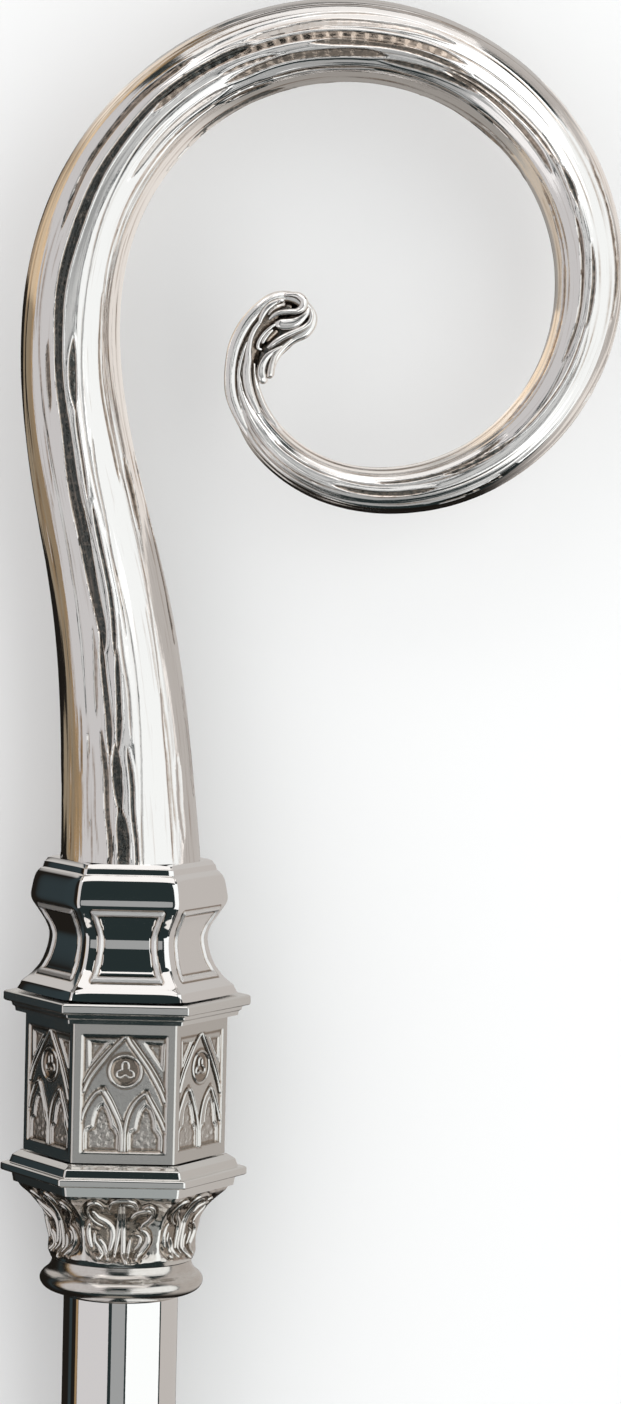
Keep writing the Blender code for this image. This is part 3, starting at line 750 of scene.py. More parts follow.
class BarkRelief:
    """Lift, matte and hollow at each ring and column of the bar, chased one mark after another."""

    def __init__(self, distance, angle):
        self.distance = distance
        self.radius = crook_widths(distance)[0][:, None]
        self.size = np.clip(self.radius / 12, 0.4, 1.1)
        self.wide = np.broadcast_to(angle, (len(distance), len(angle)))
        self.lift, self.matte, self.hollow = (np.zeros(self.wide.shape) for _ in range(3))

    def strip(self, number, edge, rise, rng):
        """The step and the fine seam along one edge of a strip."""
        distance = self.distance
        wander = sum(rng.uniform(0.02, 0.05) * np.sin(distance * math.tau / rng.uniform(90, 200)
                                                      + rng.uniform(0, math.tau)) for _ in range(2))
        off = wrapped(self.wide - math.radians(edge) - wander[:, None]) * self.radius
        step = rise * (0.7 + 0.3 * np.sin(distance / 23 + number))
        near = np.exp(-np.abs(off) / STRIP_FADE)
        self.lift += step[:, None] * np.sign(off) * ramp(np.abs(off), 0, 0.3) * near
        self.lift -= SEAM_DEPTH * crease(off, SEAM_WIDTH)
        broken = 0.55 + 0.45 * np.sin(distance / rng.uniform(4, 9) + 2 * np.sin(distance / 13))
        self.hollow = np.maximum(self.hollow, (0.55 * broken)[:, None] * crease(off, 0.17))

    def groove(self, groove, rng):
        """One groove with tapered ends, a rippled floor and a low lip beside it."""
        start, end, first, last, half_width, depth, ripple, floor = groove
        low, high = np.searchsorted(self.distance, (start - 3, end + 3))
        bends = rng.uniform(7, 16), rng.uniform(2.5, 5), rng.uniform(9, 20)
        if high - low < 2:
            return
        rows = slice(low, high)
        run = self.distance[rows, None]
        share = np.clip((run - start) / (end - start), 0, 1)
        wave = 0.018 * np.sin(run / bends[0] + start) + 0.010 * np.sin(run / bends[1])
        centre = first + (last - first) * share + wave
        half = half_width * self.size[rows] * (0.86 + 0.14 * np.sin(run / bends[2]))
        taper = np.clip(np.minimum(run - start, end - run) / TAPER_LENGTH, 0, 1)
        half = half * (0.1 + 0.9 * np.sin(math.pi / 2 * taper) ** 0.8)
        past = np.maximum(np.maximum(start - run, run - end), 0)
        reach = np.hypot(wrapped(self.wide[rows] - centre) * self.radius[rows], past)
        inside = ramp(half - reach, -0.08, 0.22)
        self.lift[rows] -= depth * (0.8 + 0.2 * np.sin(run / bends[2] * 1.7 + start)) * inside
        self.lift[rows] += LIP_HEIGHT * crease(reach - half - 0.25, 0.24) * min(1, depth / 0.25)
        beat = np.sin(run * math.tau / RIPPLE_STEP + 1.5 * np.sin(run / 11))
        self.lift[rows] += ripple * beat * inside
        self.matte[rows] = np.maximum(self.matte[rows], floor * inside)
        stain = min(1, 1.2 * floor + (0.4 if half_width < 0.6 else 0.12))
        self.hollow[rows] = np.maximum(self.hollow[rows], stain * inside)


def bark_relief(distance, angle):
    """Lift, matte, hollow and streak place of the bark at each ring's distance and column's angle."""
    rng = np.random.default_rng(BARK_SEED)
    bark = BarkRelief(distance, angle)
    lifts = rng.uniform(-STRIP_LIFT, STRIP_LIFT, len(STRIP_EDGES))
    for number, edge in enumerate(STRIP_EDGES):
        bark.strip(number, edge, lifts[number] - lifts[number - 1], rng)
    front = [(start, end, math.asin(first), math.asin(last), *rest)
             for start, end, first, last, *rest in BAR_GROOVES]
    for groove in front + random_grooves(rng):
        bark.groove(groove, rng)
    straight = np.stack(np.broadcast_arrays(12 * np.cos(angle), 12 * np.sin(angle), distance[:, None]),
                        axis=-1)
    along = straight * (1, 1, 0.03)
    outer = crease(np.degrees(wrapped(angle)) + 66, 13)
    lift = bark.lift
    lift += 0.10 * lumps(straight * (0.5, 0.5, 0.06), 1.6, 7)
    lift += (0.030 - 0.018 * np.cos(angle)) * lumps(along, 1.0, 17)
    lift += 0.06 * outer * lumps(along, 0.8, 23)
    lift += 0.035 * bark.matte * lumps(straight, 0.75, 11)
    fade = ramp(distance, 0.0, 1.5)[:, None]
    under_leaf = LEAF_COVER * ramp(distance, 438, 456)[:, None]
    return lift * fade - under_leaf, bark.matte, bark.hollow, straight


def make_crook_bar():
    """The tapering bar with its chased bark, from the knop to where the leaf covers it."""
    def rings(start, end, columns):
        turn = np.linspace(0, math.tau, columns, endpoint=False)
        angle = turn - FRONT_CROWDING * np.sin(turn)
        distance = np.linspace(start, end, round((end - start) / RING_STEP) + 1)
        lift, matte, hollow, straight = bark_relief(distance, angle)
        points = crook_place(distance[:, None], angle[None, :], lift)
        return points, matte, hollow, straight

    fine = rings(0, FINE_END, FINE_COLUMNS)
    coarse_columns = FINE_COLUMNS // 2
    coarse = rings(FINE_END + RING_STEP, BAR_END, coarse_columns)
    points = np.vstack([fine[0].reshape(-1, 3), coarse[0].reshape(-1, 3)])
    tones = {"matte": np.concatenate([fine[1].ravel(), coarse[1].ravel()]),
             "hollow": np.concatenate([fine[2].ravel(), coarse[2].ravel()]),
             "straight": np.vstack([fine[3].reshape(-1, 3), coarse[3].reshape(-1, 3)])}
    seam = (len(fine[0]) - 1) * FINE_COLUMNS
    first = len(fine[0]) * FINE_COLUMNS
    faces = grid_faces(len(fine[0]), FINE_COLUMNS, closed=True)
    faces += grid_faces(len(coarse[0]), coarse_columns, closed=True, start=first)
    for column in range(coarse_columns):
        after = (column + 1) % coarse_columns
        faces.append([seam + 2 * column, seam + 2 * column + 1, seam + 2 * after, first + after,
                      first + column])
    faces.append(list(range(FINE_COLUMNS))[::-1])
    faces.append(list(range(len(points) - coarse_columns, len(points))))
    return finish_piece(new_piece("crook_bar", points, faces, tones), BARK, ["crook"], sharp=50)


# The leaf curled at the crook's end, strand by strand: straight wall below the rounded top, rise of
# that top per half width, matte, hollow, and its route as (x, y, height of its crest, half width).
LEAF_STRANDS = (
    (2.8, 0.5, 0.7, 0.65, ((25.6, 111.0, 2.2, 3.0), (24.7, 114.5, 2.4, 3.6), (24.4, 119.5, 2.3, 3.5),
                          (25.4, 124.5, 2.2, 3.4), (27.6, 128.8, 2.1, 3.5), (30.4, 132.0, 2.0, 3.4),
                          (33.4, 133.8, 1.6, 3.2))),
    (2.8, 0.4, 0.4, 0.8, ((31.0, 133.4, 1.0, 2.0), (34.4, 134.0, 0.7, 3.2), (37.4, 133.6, 0.9, 3.2))),
    (2.8, 0.5, 0.6, 0.9, ((36.0, 135.2, 0.8, 2.6), (38.0, 132.8, 2.2, 2.9), (37.0, 130.2, 2.3, 2.9),
                          (34.4, 127.4, 2.3, 3.0), (31.5, 124.3, 2.1, 2.9), (30.1, 120.6, 1.9, 2.3),
                          (30.3, 117.6, 1.5, 1.8))),
    (1.6, 0.8, 0.1, 0.0, ((28.4, 101.2, 2.9, 0.9), (24.8, 106.7, 3.4, 1.3), (22.3, 112.8, 3.7, 1.6),
                          (21.8, 117.0, 3.8, 1.6), (22.1, 122.0, 3.8, 1.6), (23.0, 125.7, 3.8, 1.7),
                          (25.4, 130.4, 3.8, 1.75), (28.4, 134.0, 3.7, 1.6), (31.5, 136.4, 3.5, 1.5),
                          (34.6, 137.1, 3.2, 1.4), (37.3, 136.4, 3.0, 1.4), (39.4, 134.7, 2.8, 1.4),
                          (40.9, 132.6, 2.7, 1.4), (40.9, 130.7, 2.7, 1.4), (39.5, 128.6, 2.7, 1.4),
                          (36.8, 127.1, 2.6, 1.3), (33.9, 124.6, 2.5, 1.2), (31.8, 121.2, 2.3, 1.1),
                          (31.2, 117.4, 2.0, 1.0))),
    (1.2, 1.2, 0.0, 0.0, ((26.8, 107.8, 3.9, 0.25), (24.4, 113.4, 4.2, 0.35), (23.7, 117.0, 4.2, 0.38),
                          (23.9, 120.0, 4.1, 0.38), (24.7, 123.4, 3.9, 0.35), (25.6, 126.0, 3.5, 0.2))),
    (1.6, 0.8, 0.0, 0.0, ((28.9, 108.4, 3.7, 0.8), (26.4, 113.9, 4.2, 1.15), (25.6, 118.5, 4.2, 1.15),
                          (25.9, 121.9, 4.2, 0.95), (26.0, 124.2, 4.1, 0.7), (26.5, 127.0, 4.1, 0.55),
                          (27.5, 129.3, 4.2, 0.55), (28.7, 131.0, 4.3, 0.45))),
    (1.6, 0.9, 0.0, 0.0, ((28.4, 130.2, 4.2, 0.35), (28.9, 131.9, 4.5, 0.6), (29.8, 133.6, 4.6, 0.75),
                          (31.2, 135.0, 4.6, 0.8), (32.8, 135.9, 4.5, 0.6), (34.4, 136.3, 4.1, 0.35))),
    (1.0, 0.9, 0.3, 0.2, ((30.4, 132.4, 3.4, 0.4), (31.5, 134.0, 3.5, 0.8), (33.3, 134.9, 3.2, 0.8),
                          (35.0, 135.2, 2.4, 0.6))),
    (0.6, 1.2, 0.0, 0.0, ((32.5, 135.5, 4.7, 0.28), (33.1, 136.2, 4.9, 0.3), (33.7, 135.7, 4.7, 0.25))),
    (1.8, 0.9, 0.0, 0.0, ((30.6, 131.3, 3.8, 0.3), (31.6, 132.3, 4.3, 0.5), (33.0, 133.1, 4.7, 0.6),
                          (35.3, 133.5, 4.9, 0.65), (37.6, 133.7, 4.9, 0.75), (38.9, 134.8, 4.9, 0.95),
                          (39.0, 136.1, 4.7, 1.0), (37.9, 137.2, 4.3, 0.95), (36.2, 137.6, 3.9, 0.7),
                          (34.2, 137.5, 3.5, 0.4))),
    (1.8, 0.6, 0.0, 0.0, ((31.9, 131.2, 3.2, 0.25), (32.6, 130.7, 4.0, 0.9), (33.6, 130.5, 4.3, 1.4),
                          (35.0, 130.5, 4.3, 1.55),
                          (37.0, 130.9, 4.3, 1.35), (38.8, 132.2, 4.3, 0.9), (39.9, 133.6, 4.1, 0.6),
                          (40.2, 134.8, 3.6, 0.3))),
    (1.6, 0.9, 0.0, 0.0, ((40.7, 134.4, 3.6, 0.3), (41.0, 132.9, 3.9, 0.5), (40.6, 131.2, 4.0, 0.6),
                          (39.2, 129.8, 4.1, 0.65), (36.8, 128.6, 4.2, 0.7), (34.4, 127.4, 4.2, 0.75),
                          (32.4, 126.1, 4.1, 0.7), (30.9, 124.9, 3.9, 0.45), (30.2, 124.6, 3.4, 0.2))),
    (1.2, 1.0, 0.0, 0.0, ((32.4, 130.4, 3.9, 0.3), (31.2, 129.6, 4.0, 0.4), (29.9, 128.4, 4.0, 0.45),
                          (28.8, 126.9, 3.9, 0.45), (28.2, 125.3, 3.8, 0.5), (28.4, 124.4, 3.6, 0.45),
                          (29.3, 124.2, 3.4, 0.3))),
    (1.2, 1.0, 0.0, 0.0, ((31.8, 129.1, 3.7, 0.25), (30.6, 127.9, 3.9, 0.4), (29.7, 126.6, 3.9, 0.45),
                          (29.2, 125.5, 3.7, 0.35))),
    (1.0, 0.8, 0.5, 0.5, ((33.0, 129.0, 3.0, 0.6), (31.4, 127.6, 3.0, 0.8), (30.2, 126.0, 3.0, 0.6))),
    (1.6, 0.8, 0.0, 0.0, ((34.2, 125.2, 3.3, 0.3), (32.0, 123.9, 3.5, 0.6), (30.3, 122.4, 3.6, 0.85),
                          (29.3, 120.4, 3.6, 1.0), (29.1, 118.4, 3.5, 1.15), (29.6, 117.1, 3.3, 1.2),
                          (30.7, 116.5, 2.8, 0.9))),
    (1.6, 0.9, 0.0, 0.1, ((36.5, 127.0, 3.0, 0.4), (33.9, 124.9, 3.1, 0.6), (32.3, 122.9, 3.1, 0.75),
                          (31.6, 120.6, 3.0, 0.85), (31.3, 118.6, 2.9, 0.95), (31.1, 117.2, 2.6, 0.9))),
    (1.6, 0.9, 0.1, 0.1, ((34.6, 104.0, 2.0, 0.6), (32.6, 106.5, 2.7, 0.8), (30.0, 110.3, 2.8, 0.9),
                          (28.3, 114.5, 2.8, 0.8), (27.6, 118.0, 2.6, 0.6), (27.4, 121.0, 2.2, 0.4))),
)


def make_crook_leaf():
    """The curled leaf at the end of the crook, as overlapping closed strands."""
    return finish_piece(strand_mesh("crook_leaf", LEAF_STRANDS), BARK, ["crook"], sharp=60)


# ---------------------------------------------------------------- the knop

# Profiles of the knop's pieces, each level as its radius and height. The radius is measured to a
# corner where the piece is six-sided.
CROWN_PLATE = ((20.2, 0.0), (20.9, -0.8), (21.2, -1.0), (21.6, -2.4), (22.1, -2.6))
CROWN_WAIST = ((23.0, -3.6), (23.6, -4.9), (24.2, -7.6), (24.4, -9.2), (24.15, -10.5), (22.85, -12.5),
               (21.6, -14.3), (20.5, -16.1), (19.8, -18.0), (19.75, -19.7), (20.4, -22.7), (21.7, -25.7),
               (24.1, -28.6), (25.7, -29.9))
CROWN_LIP = ((26.3, -30.4), (26.6, -31.2), (27.0, -32.6))
FRAME_TOP = -10.9
FRAME_BOTTOM = -28.2
FRAME_MARGIN = 2.8
FRAME_WIDTH = 1.4
FRAME_HEIGHT = 0.5
LINE_WIDTH = 0.14  # of the fine line along each side of a frame
LINE_DEPTH = 0.12
LINE_GAP = 0.08
CROWN_ROUNDING = 0.34  # how far each face is worn down towards its edges
UPPER_CORNICE = ((29.7, -32.9), (30.2, -33.3), (30.2, -35.1), (29.7, -35.4), (28.3, -35.5),
                 (28.0, -36.6), (27.4, -36.8), (27.2, -37.9))
LOWER_CORNICE = ((25.6, -72.1), (26.0, -72.4), (27.4, -73.2), (28.0, -74.8), (28.1, -75.0),
                 (29.7, -75.0), (30.2, -75.4), (30.2, -76.8), (29.7, -77.1), (27.5, -77.2),
                 (27.0, -79.7))
DRUM_RADIUS = 24.7
DRUM_TOP = -38.2
DRUM_BOTTOM = -71.8
CAPITAL_LEVELS = ((25.8, -80.0), (25.2, -80.9), (23.3, -82.5), (21.5, -84.2), (20.1, -86.0),
                  (19.1, -88.0), (18.6, -90.1), (18.2, -92.3), (18.1, -94.3), (18.1, -95.8),
                  (17.4, -97.7))
NECK_RING = ((17.0, -98.0), (17.2, -99.2), (18.0, -100.5), (19.2, -101.5), (19.9, -102.6),
             (19.9, -103.6), (19.2, -104.8), (17.8, -105.7), (15.9, -106.2), (14.2, -106.4))


def capped(outline):
    """Close a profile to the axis at both ends."""
    top, bottom = outline[0], outline[-1]
    return np.vstack([[[0, top[1]], [top[0] / 2, top[1]]], outline,
                      [[bottom[0] / 2, bottom[1]], [0, bottom[1]]]])


def box_distance(across, up, half_across, half_up):
    """Distance to the outline of a box round the origin, negative inside it."""
    right = np.abs(across) - half_across
    above = np.abs(up) - half_up
    return np.hypot(np.maximum(right, 0), np.maximum(above, 0)) + np.minimum(np.maximum(right, above), 0)


def crown_relief(across, height, half):
    """A ridged, buffed rail between two fine lines, which frames each hollow face."""
    middle = (FRAME_TOP + FRAME_BOTTOM) / 2
    rail = FRAME_WIDTH / 2
    tall = (FRAME_TOP - FRAME_BOTTOM) / 2 - rail
    gap = np.abs(box_distance(across, height - middle, half - FRAME_MARGIN - rail, tall))
    line = crease(gap - rail - LINE_GAP, LINE_WIDTH)
    to_edge = np.clip(np.abs(across) / np.maximum(half, 0.01), 0, 1)
    lift = FRAME_HEIGHT * roof(gap, rail) - LINE_DEPTH * line - CROWN_ROUNDING * to_edge ** 7
    return lift, ramp(rail - gap, -0.05, 0.1), 0.8 * line


def make_crown():
    """The waisted collar under the crook, with a frame on each face."""
    waist = through(CROWN_PLATE[-1:] + CROWN_WAIST + CROWN_LIP[:1], spacing=0.32)
    plate = softened(CROWN_PLATE, 0.15)
    body = np.vstack([plate[:-1], waist, softened(CROWN_LIP, 0.2)[1:]])
    return six_sided_piece("knop_crown_silver", capped(body), MIRROR, ["knop_crown"], 84, 0.9,
                           crown_relief)


def make_cornices():
    """The mouldings over and under the drum. Only the lower one is handed on, to be lit."""
    upper = filled(softened(UPPER_CORNICE, 0.3), 1.0)
    lower = filled(softened(LOWER_CORNICE, 0.3), 1.0)
    six_sided_piece("upper_cornice_silver", capped(upper), CORNICE, ["upper_cornice"], 20, 0.5)
    return six_sided_piece("lower_cornice_silver", capped(lower), LOWER_POLISH, ["lower_cornice"],
                           20, 0.8)


PANEL_HALF = 10.4
PANEL_HEIGHT = 28.8
PANEL_BOTTOM = -69.5
FIELD_DEPTH = 0.45  # of the panel's field below the drum's face
SUNK_DEPTH = 0.5  # of the lights and spandrels below the field
ROUNDEL_DEPTH = 0.35
CHAMFER = 0.7  # width of the sloping sides of all that is sunk
GROOVE_DEPTH = 0.14  # of the groove beside a moulding
GROOVE_WIDTH = 0.26
ROUNDEL_PLACE = (0.2, 20.2)
ROUNDEL_RADIUS = 3.85
# Sunk places of each panel, across from its middle and up from its foot
SPANDRELS = (((-8.6, 27.4), (-3.9, 27.0), (-8.4, 21.1)), ((4.4, 27.1), (9.3, 26.9), (9.0, 20.3)))
CUSPED_LIGHTS = (
    ((-9.2, 0.35), (-9.2, 5.2), (-8.5, 6.1), (-7.5, 6.6), (-7.3, 8.2), (-6.7, 10.4), (-5.9, 11.6),
     (-4.9, 12.3), (-3.9, 10.8), (-3.0, 8.2), (-2.7, 6.8), (-1.9, 6.0), (-1.2, 4.6), (-1.2, 0.35)),
    ((1.3, 0.35), (1.3, 4.8), (1.9, 5.6), (2.8, 6.1), (3.2, 8.2), (3.9, 10.4), (5.2, 12.2),
     (6.6, 10.8), (7.4, 8.2), (7.6, 6.1), (8.3, 5.2), (8.9, 4.2), (8.9, 0.35)),
)
# Routes of the mouldings on each panel, in the same way, with their half widths and the height of
# the ridge over the panel's field: first the gable and the arches, then the lines that edge them.
ARCH_MOULDINGS = (
    (0.42, 0.48, ((-9.9, 14.6), (-8.8, 17.2), (-7.6, 19.2), (-5.8, 21.6), (-3.8, 24.2), (-1.6, 26.7),
                  (0.3, 28.6))),
    (0.42, 0.48, ((0.3, 28.6), (1.3, 26.8), (3.3, 24.0), (5.5, 20.9), (7.3, 17.9), (8.9, 14.9),
                  (9.9, 12.4))),
    (0.16, 0.25, ((1.6, 27.9), (4.3, 24.2), (6.6, 21.0), (8.6, 17.6), (9.7, 15.2))),
    (0.16, 0.25, ((-10.0, 16.9), (-8.2, 20.2), (-5.6, 23.4), (-3.4, 25.9))),
    (0.38, 0.45, ((-10.2, 7.8), (-9.6, 10.0), (-8.4, 12.3), (-6.8, 14.5), (-5.2, 15.5))),
    (0.50, 0.50, ((-5.2, 15.5), (-3.8, 13.3), (-2.3, 10.4), (-1.25, 8.2), (-0.6, 6.2), (-0.35, 3.8),
                  (-0.35, 0.3))),
    (0.38, 0.45, ((0.35, 0.3), (0.35, 5.4), (0.55, 7.2), (1.1, 9.4), (2.1, 11.6), (3.7, 13.5),
                  (5.3, 14.8))),
    (0.40, 0.45, ((5.3, 14.8), (6.7, 12.2), (8.1, 9.7), (9.2, 7.5), (10.0, 5.6))),
)
EDGE_MOULDINGS = (
    (0.30, 0.12, ((-8.9, 27.6), (-8.75, 24.0), (-8.6, 20.7))),
    (0.20, 0.10, ((-3.6, 27.1), (-6.0, 24.2), (-8.4, 20.8))),
    (0.34, 0.12, ((4.1, 27.2), (6.4, 23.9), (9.2, 20.0))),
    (0.18, 0.10, ((9.6, 27.1), (9.5, 23.6), (9.4, 20.0))),
    (0.36, 0.12, ((-9.5, 0.4), (-9.5, 5.2), (-8.8, 6.4), (-7.8, 6.9), (-7.6, 8.3), (-7.0, 10.6),
                  (-6.1, 11.9), (-4.9, 12.7))),
    (0.22, 0.10, ((-4.9, 12.7), (-3.6, 10.9), (-2.7, 8.3), (-2.4, 7.1), (-1.6, 6.2), (-0.95, 4.7),
                  (-0.95, 0.4))),
    (0.30, 0.12, ((1.05, 0.4), (1.05, 4.9), (1.65, 5.9), (2.55, 6.4), (2.95, 8.3), (3.65, 10.6),
                  (5.2, 12.6))),
    (0.26, 0.10, ((5.2, 12.6), (6.9, 10.9), (7.7, 8.3), (7.9, 6.3), (8.6, 5.4), (9.2, 4.3), (9.2, 0.4))),
    (0.14, 0.22, ((-4.2, 15.4), (-2.8, 13.2), (-1.4, 10.2), (-0.5, 8.2))),
    (0.14, 0.22, ((6.4, 14.3), (7.8, 12.0), (9.2, 9.4), (10.1, 7.6))),
)
# Ring round each roundel and the trefoil in it: radius, swing of the three lobes, half width, height
RING_MOULDINGS = ((ROUNDEL_RADIUS, 0.0, 0.36, 0.45), (1.62, 0.72, 0.36, 0.22))
RING_PLACE = (0.2, 20.0)
RING_STEPS = 61
RING_START = 0.4
RING_END = 0.5  # a turn on from 0, so that the line laps over its own start
MOULDING_SHAPE = (0.4, 0.85, 0.1, 0.0)  # wall, rise, matte and hollow of each moulding


def drum_relief(across, height, half):
    """A sunk panel with stippled lights and spandrels, and shallow grooves beside its mouldings."""
    up = height - PANEL_BOTTOM
    panel = box_distance(across, up - PANEL_HEIGHT / 2, PANEL_HALF, PANEL_HEIGHT / 2)
    inside = np.clip(-panel / CHAMFER, 0, 1)
    lift = -FIELD_DEPTH * inside
    matte = 0.3 * inside
    hollow = 0.9 * crease(panel + CHAMFER + 0.12, GROOVE_WIDTH)
    for outline in (*SPANDRELS, *CUSPED_LIGHTS):
        gap = outline_distance(np.array(outline), across, up)
        floor = np.clip(-gap / CHAMFER, 0, 1)
        lift = lift - SUNK_DEPTH * floor
        matte = np.maximum(matte, ramp(floor, 0.7, 1))
        hollow = np.maximum(hollow, 0.16 * ramp(floor, 0.7, 1))
        hollow = np.maximum(hollow, 0.8 * crease(gap + CHAMFER + 0.1, GROOVE_WIDTH))
    for half_width, _, route in ARCH_MOULDINGS:
        gap = path_distance(through(route, spacing=1.0), across, up)
        groove = crease(gap - half_width - 0.15, GROOVE_WIDTH) * inside
        lift = lift - GROOVE_DEPTH * groove
        hollow = np.maximum(hollow, 0.85 * groove)
    ring = np.hypot(across - ROUNDEL_PLACE[0], up - ROUNDEL_PLACE[1])
    disc = np.clip((ROUNDEL_RADIUS - 0.2 - ring) / CHAMFER, 0, 1)
    lift = lift - ROUNDEL_DEPTH * disc
    hollow = np.maximum(hollow, 0.9 * crease(np.abs(ring - ROUNDEL_RADIUS) - 0.45, GROOVE_WIDTH))
    hollow = np.maximum(hollow, 0.6 * disc)
    stipple = lumps(np.stack([across, up, across * 0], axis=-1), 0.75, 5)
    lift = lift + 0.10 * stipple * ramp(matte, 0.5, 1.0)
    return lift, matte, hollow


def make_drum():
    """The drum with its six panels, and the mouldings of their tracery."""
    body = filled(np.array([(DRUM_RADIUS, DRUM_TOP), (DRUM_RADIUS, DRUM_BOTTOM)]), 0.26)
    six_sided_piece("tracery_drum_silver", capped(body), MATTED, ["tracery_drum"], 98, 0.8,
                    drum_relief, sharp=50)
    field = DRUM_RADIUS * math.cos(HALF_FACE) - FIELD_DEPTH
    strands = []
    for half_width, high, route in ARCH_MOULDINGS + EDGE_MOULDINGS:
        places = [(x, y + PANEL_BOTTOM, high, half_width) for x, y in route]
        strands.append((*MOULDING_SHAPE, places))
    for radius, swing, half_width, high in RING_MOULDINGS:
        turn = np.linspace(RING_START, math.tau + RING_END, RING_STEPS)
        reach = radius - swing * np.sin(3 * turn)
        x = RING_PLACE[0] + reach * np.cos(turn)
        y = RING_PLACE[1] + PANEL_BOTTOM + reach * np.sin(turn)
        strands.append((*MOULDING_SHAPE, [(*place, high, half_width) for place in zip(x, y)]))
    face = strand_mesh("tracery_mouldings", strands, ridge=0.65, ground=lambda x, y: field,
                       columns=9, spacing=0.4)
    set_round(face, MATTED, ["tracery_drum"], sharp=60)


# The acanthus leaf on each face of the capital: the half width and height of each rib, and its route
# in mm across the face from its middle and down from the capital's top.
CAPITAL_RIBS = (
    (0.52, 1.10, ((-0.3, -1.6), (-0.4, -5.9), (-0.8, -10.1), (-1.6, -15.2))),
    (0.55, 1.20, ((0.5, -1.4), (0.5, -7.2), (0.5, -11.6), (0.6, -14.9), (1.5, -16.8))),
    (0.44, 1.05, ((-2.9, -3.4), (-2.7, -1.9), (-1.9, -1.0), (-0.4, -0.6), (1.7, -0.6), (3.1, -1.2),
                  (3.7, -2.3), (3.9, -3.3))),
    (0.36, 0.95, ((0.8, -1.6), (2.4, -1.9), (3.4, -3.1))),
    (0.44, 1.00, ((-4.2, -3.2), (-5.2, -1.9), (-6.4, -1.3), (-7.6, -1.6), (-8.3, -2.9), (-8.0, -4.6),
                  (-7.1, -5.9), (-5.7, -7.0), (-4.2, -7.7))),
    (0.68, 1.20, ((-7.0, -3.6), (-5.7, -5.2), (-3.8, -6.3), (-2.4, -7.8), (-2.0, -9.6), (-2.3, -11.9),
                  (-2.8, -14.0))),
    (0.59, 0.85, ((-7.7, -6.9), (-7.9, -9.0), (-7.6, -11.1), (-7.0, -13.3))),
    (0.44, 0.85, ((-6.5, -9.3), (-6.3, -11.5), (-5.2, -13.2), (-4.6, -14.7), (-5.4, -15.6),
                  (-6.1, -14.9))),
    (0.55, 0.95, ((-5.4, -10.7), (-4.1, -12.4), (-3.5, -14.2), (-3.1, -15.9))),
    (0.52, 1.05, ((2.2, -5.7), (3.4, -4.2), (4.8, -3.5), (6.5, -3.3), (7.2, -4.2))),
    (0.42, 0.95, ((5.3, -2.7), (6.8, -2.2), (7.7, -2.9), (7.5, -4.6), (6.6, -5.9), (5.3, -7.0),
                  (4.6, -8.3))),
    (0.57, 1.05, ((4.6, -8.3), (6.0, -9.3), (6.5, -10.7), (6.1, -12.1), (5.0, -13.7), (3.9, -14.9),
                  (3.6, -15.8))),
    (0.44, 0.85, ((2.2, -10.8), (1.8, -13.2), (1.6, -15.4))),
    (0.39, 0.80, ((3.4, -9.6), (4.6, -10.4), (4.4, -12.0), (3.2, -13.6))),
)
RIB_TAPER = (0.55, 0.75)  # a rib's width at its ends, and what its middle has more
RIB_SHAPE = (0.8, 0.9, 0.22, 0.08)  # wall, rise, matte and hollow of each rib
# Outline of the raised leaf under the ribs, in the same way
CAPITAL_LEAF = (
    (-8.9, -2.5), (-7.4, -0.9), (-5.4, -1.0), (-3.4, -2.2), (-2.4, -0.5), (1.6, -0.2), (3.6, -1.0),
    (4.6, -2.4), (6.9, -1.6), (8.3, -2.9), (7.8, -5.2), (5.8, -7.6), (7.0, -9.6), (6.8, -12.0),
    (4.6, -15.2), (4.4, -16.6), (0.9, -17.0), (-1.6, -16.2), (-5.2, -16.2), (-7.5, -14.4),
    (-8.6, -11.4), (-8.6, -8.0), (-7.8, -6.2), (-8.9, -4.6),
)
LEAF_LIFT = 0.45
LEAF_EDGE_DEPTH = 0.15
RIB_GROOVE_DEPTH = 0.18  # of the groove beside a rib
ROUND_FROM = -93.5  # height where the bell begins to turn from hexagon to circle
ROUND_TO = -96.8


def capital_relief(across, height, half):
    """The body of an acanthus leaf on each bell-shaped face, with grooves beside its ribs."""
    down = height - CAPITAL_LEVELS[0][1]
    gap = outline_distance(through(CAPITAL_LEAF + CAPITAL_LEAF[:1], spacing=0.6)[:-1], across, down)
    body = ramp(-gap, -0.1, 0.5)
    edge = crease(gap - 0.2, 0.22)
    lift = LEAF_LIFT * body - LEAF_EDGE_DEPTH * edge
    hollow = np.maximum(0.62 * body, 0.9 * edge) + 0.2 * (1 - body)
    for half_width, _, route in CAPITAL_RIBS:
        way = path_distance(through(route, spacing=0.7), across, down)
        groove = crease(way - half_width - 0.2, GROOVE_WIDTH)
        lift = lift - RIB_GROOVE_DEPTH * groove
        hollow = np.maximum(hollow, 0.9 * groove)
    calm = ramp(down, -17.2, -15.8)
    seam = ramp(np.abs(across), half - 0.9, half - 0.2)
    stipple = lumps(np.stack([across, down, across * 0], axis=-1), 0.9, 8)
    lift = lift * calm * (1 - seam) + 0.05 * stipple * calm * (1 - seam)
    return lift, (0.35 + 0.3 * body) * calm * (1 - seam), hollow * calm * (1 - seam)


def capital_roundness(height):
    """0 where the capital is a hexagon, 1 where it is round."""
    return ramp(-height, -ROUND_FROM, -ROUND_TO)


def capital_ground(across, height):
    """Distance of the capital's face from the staff's axis plane."""
    levels = np.array(CAPITAL_LEVELS)
    radius = np.interp(-height, -levels[:, 1], levels[:, 0])
    reach = np.hypot(across, radius * math.cos(HALF_FACE))
    reach = reach + (radius - reach) * capital_roundness(height)
    return np.sqrt(reach ** 2 - across ** 2)


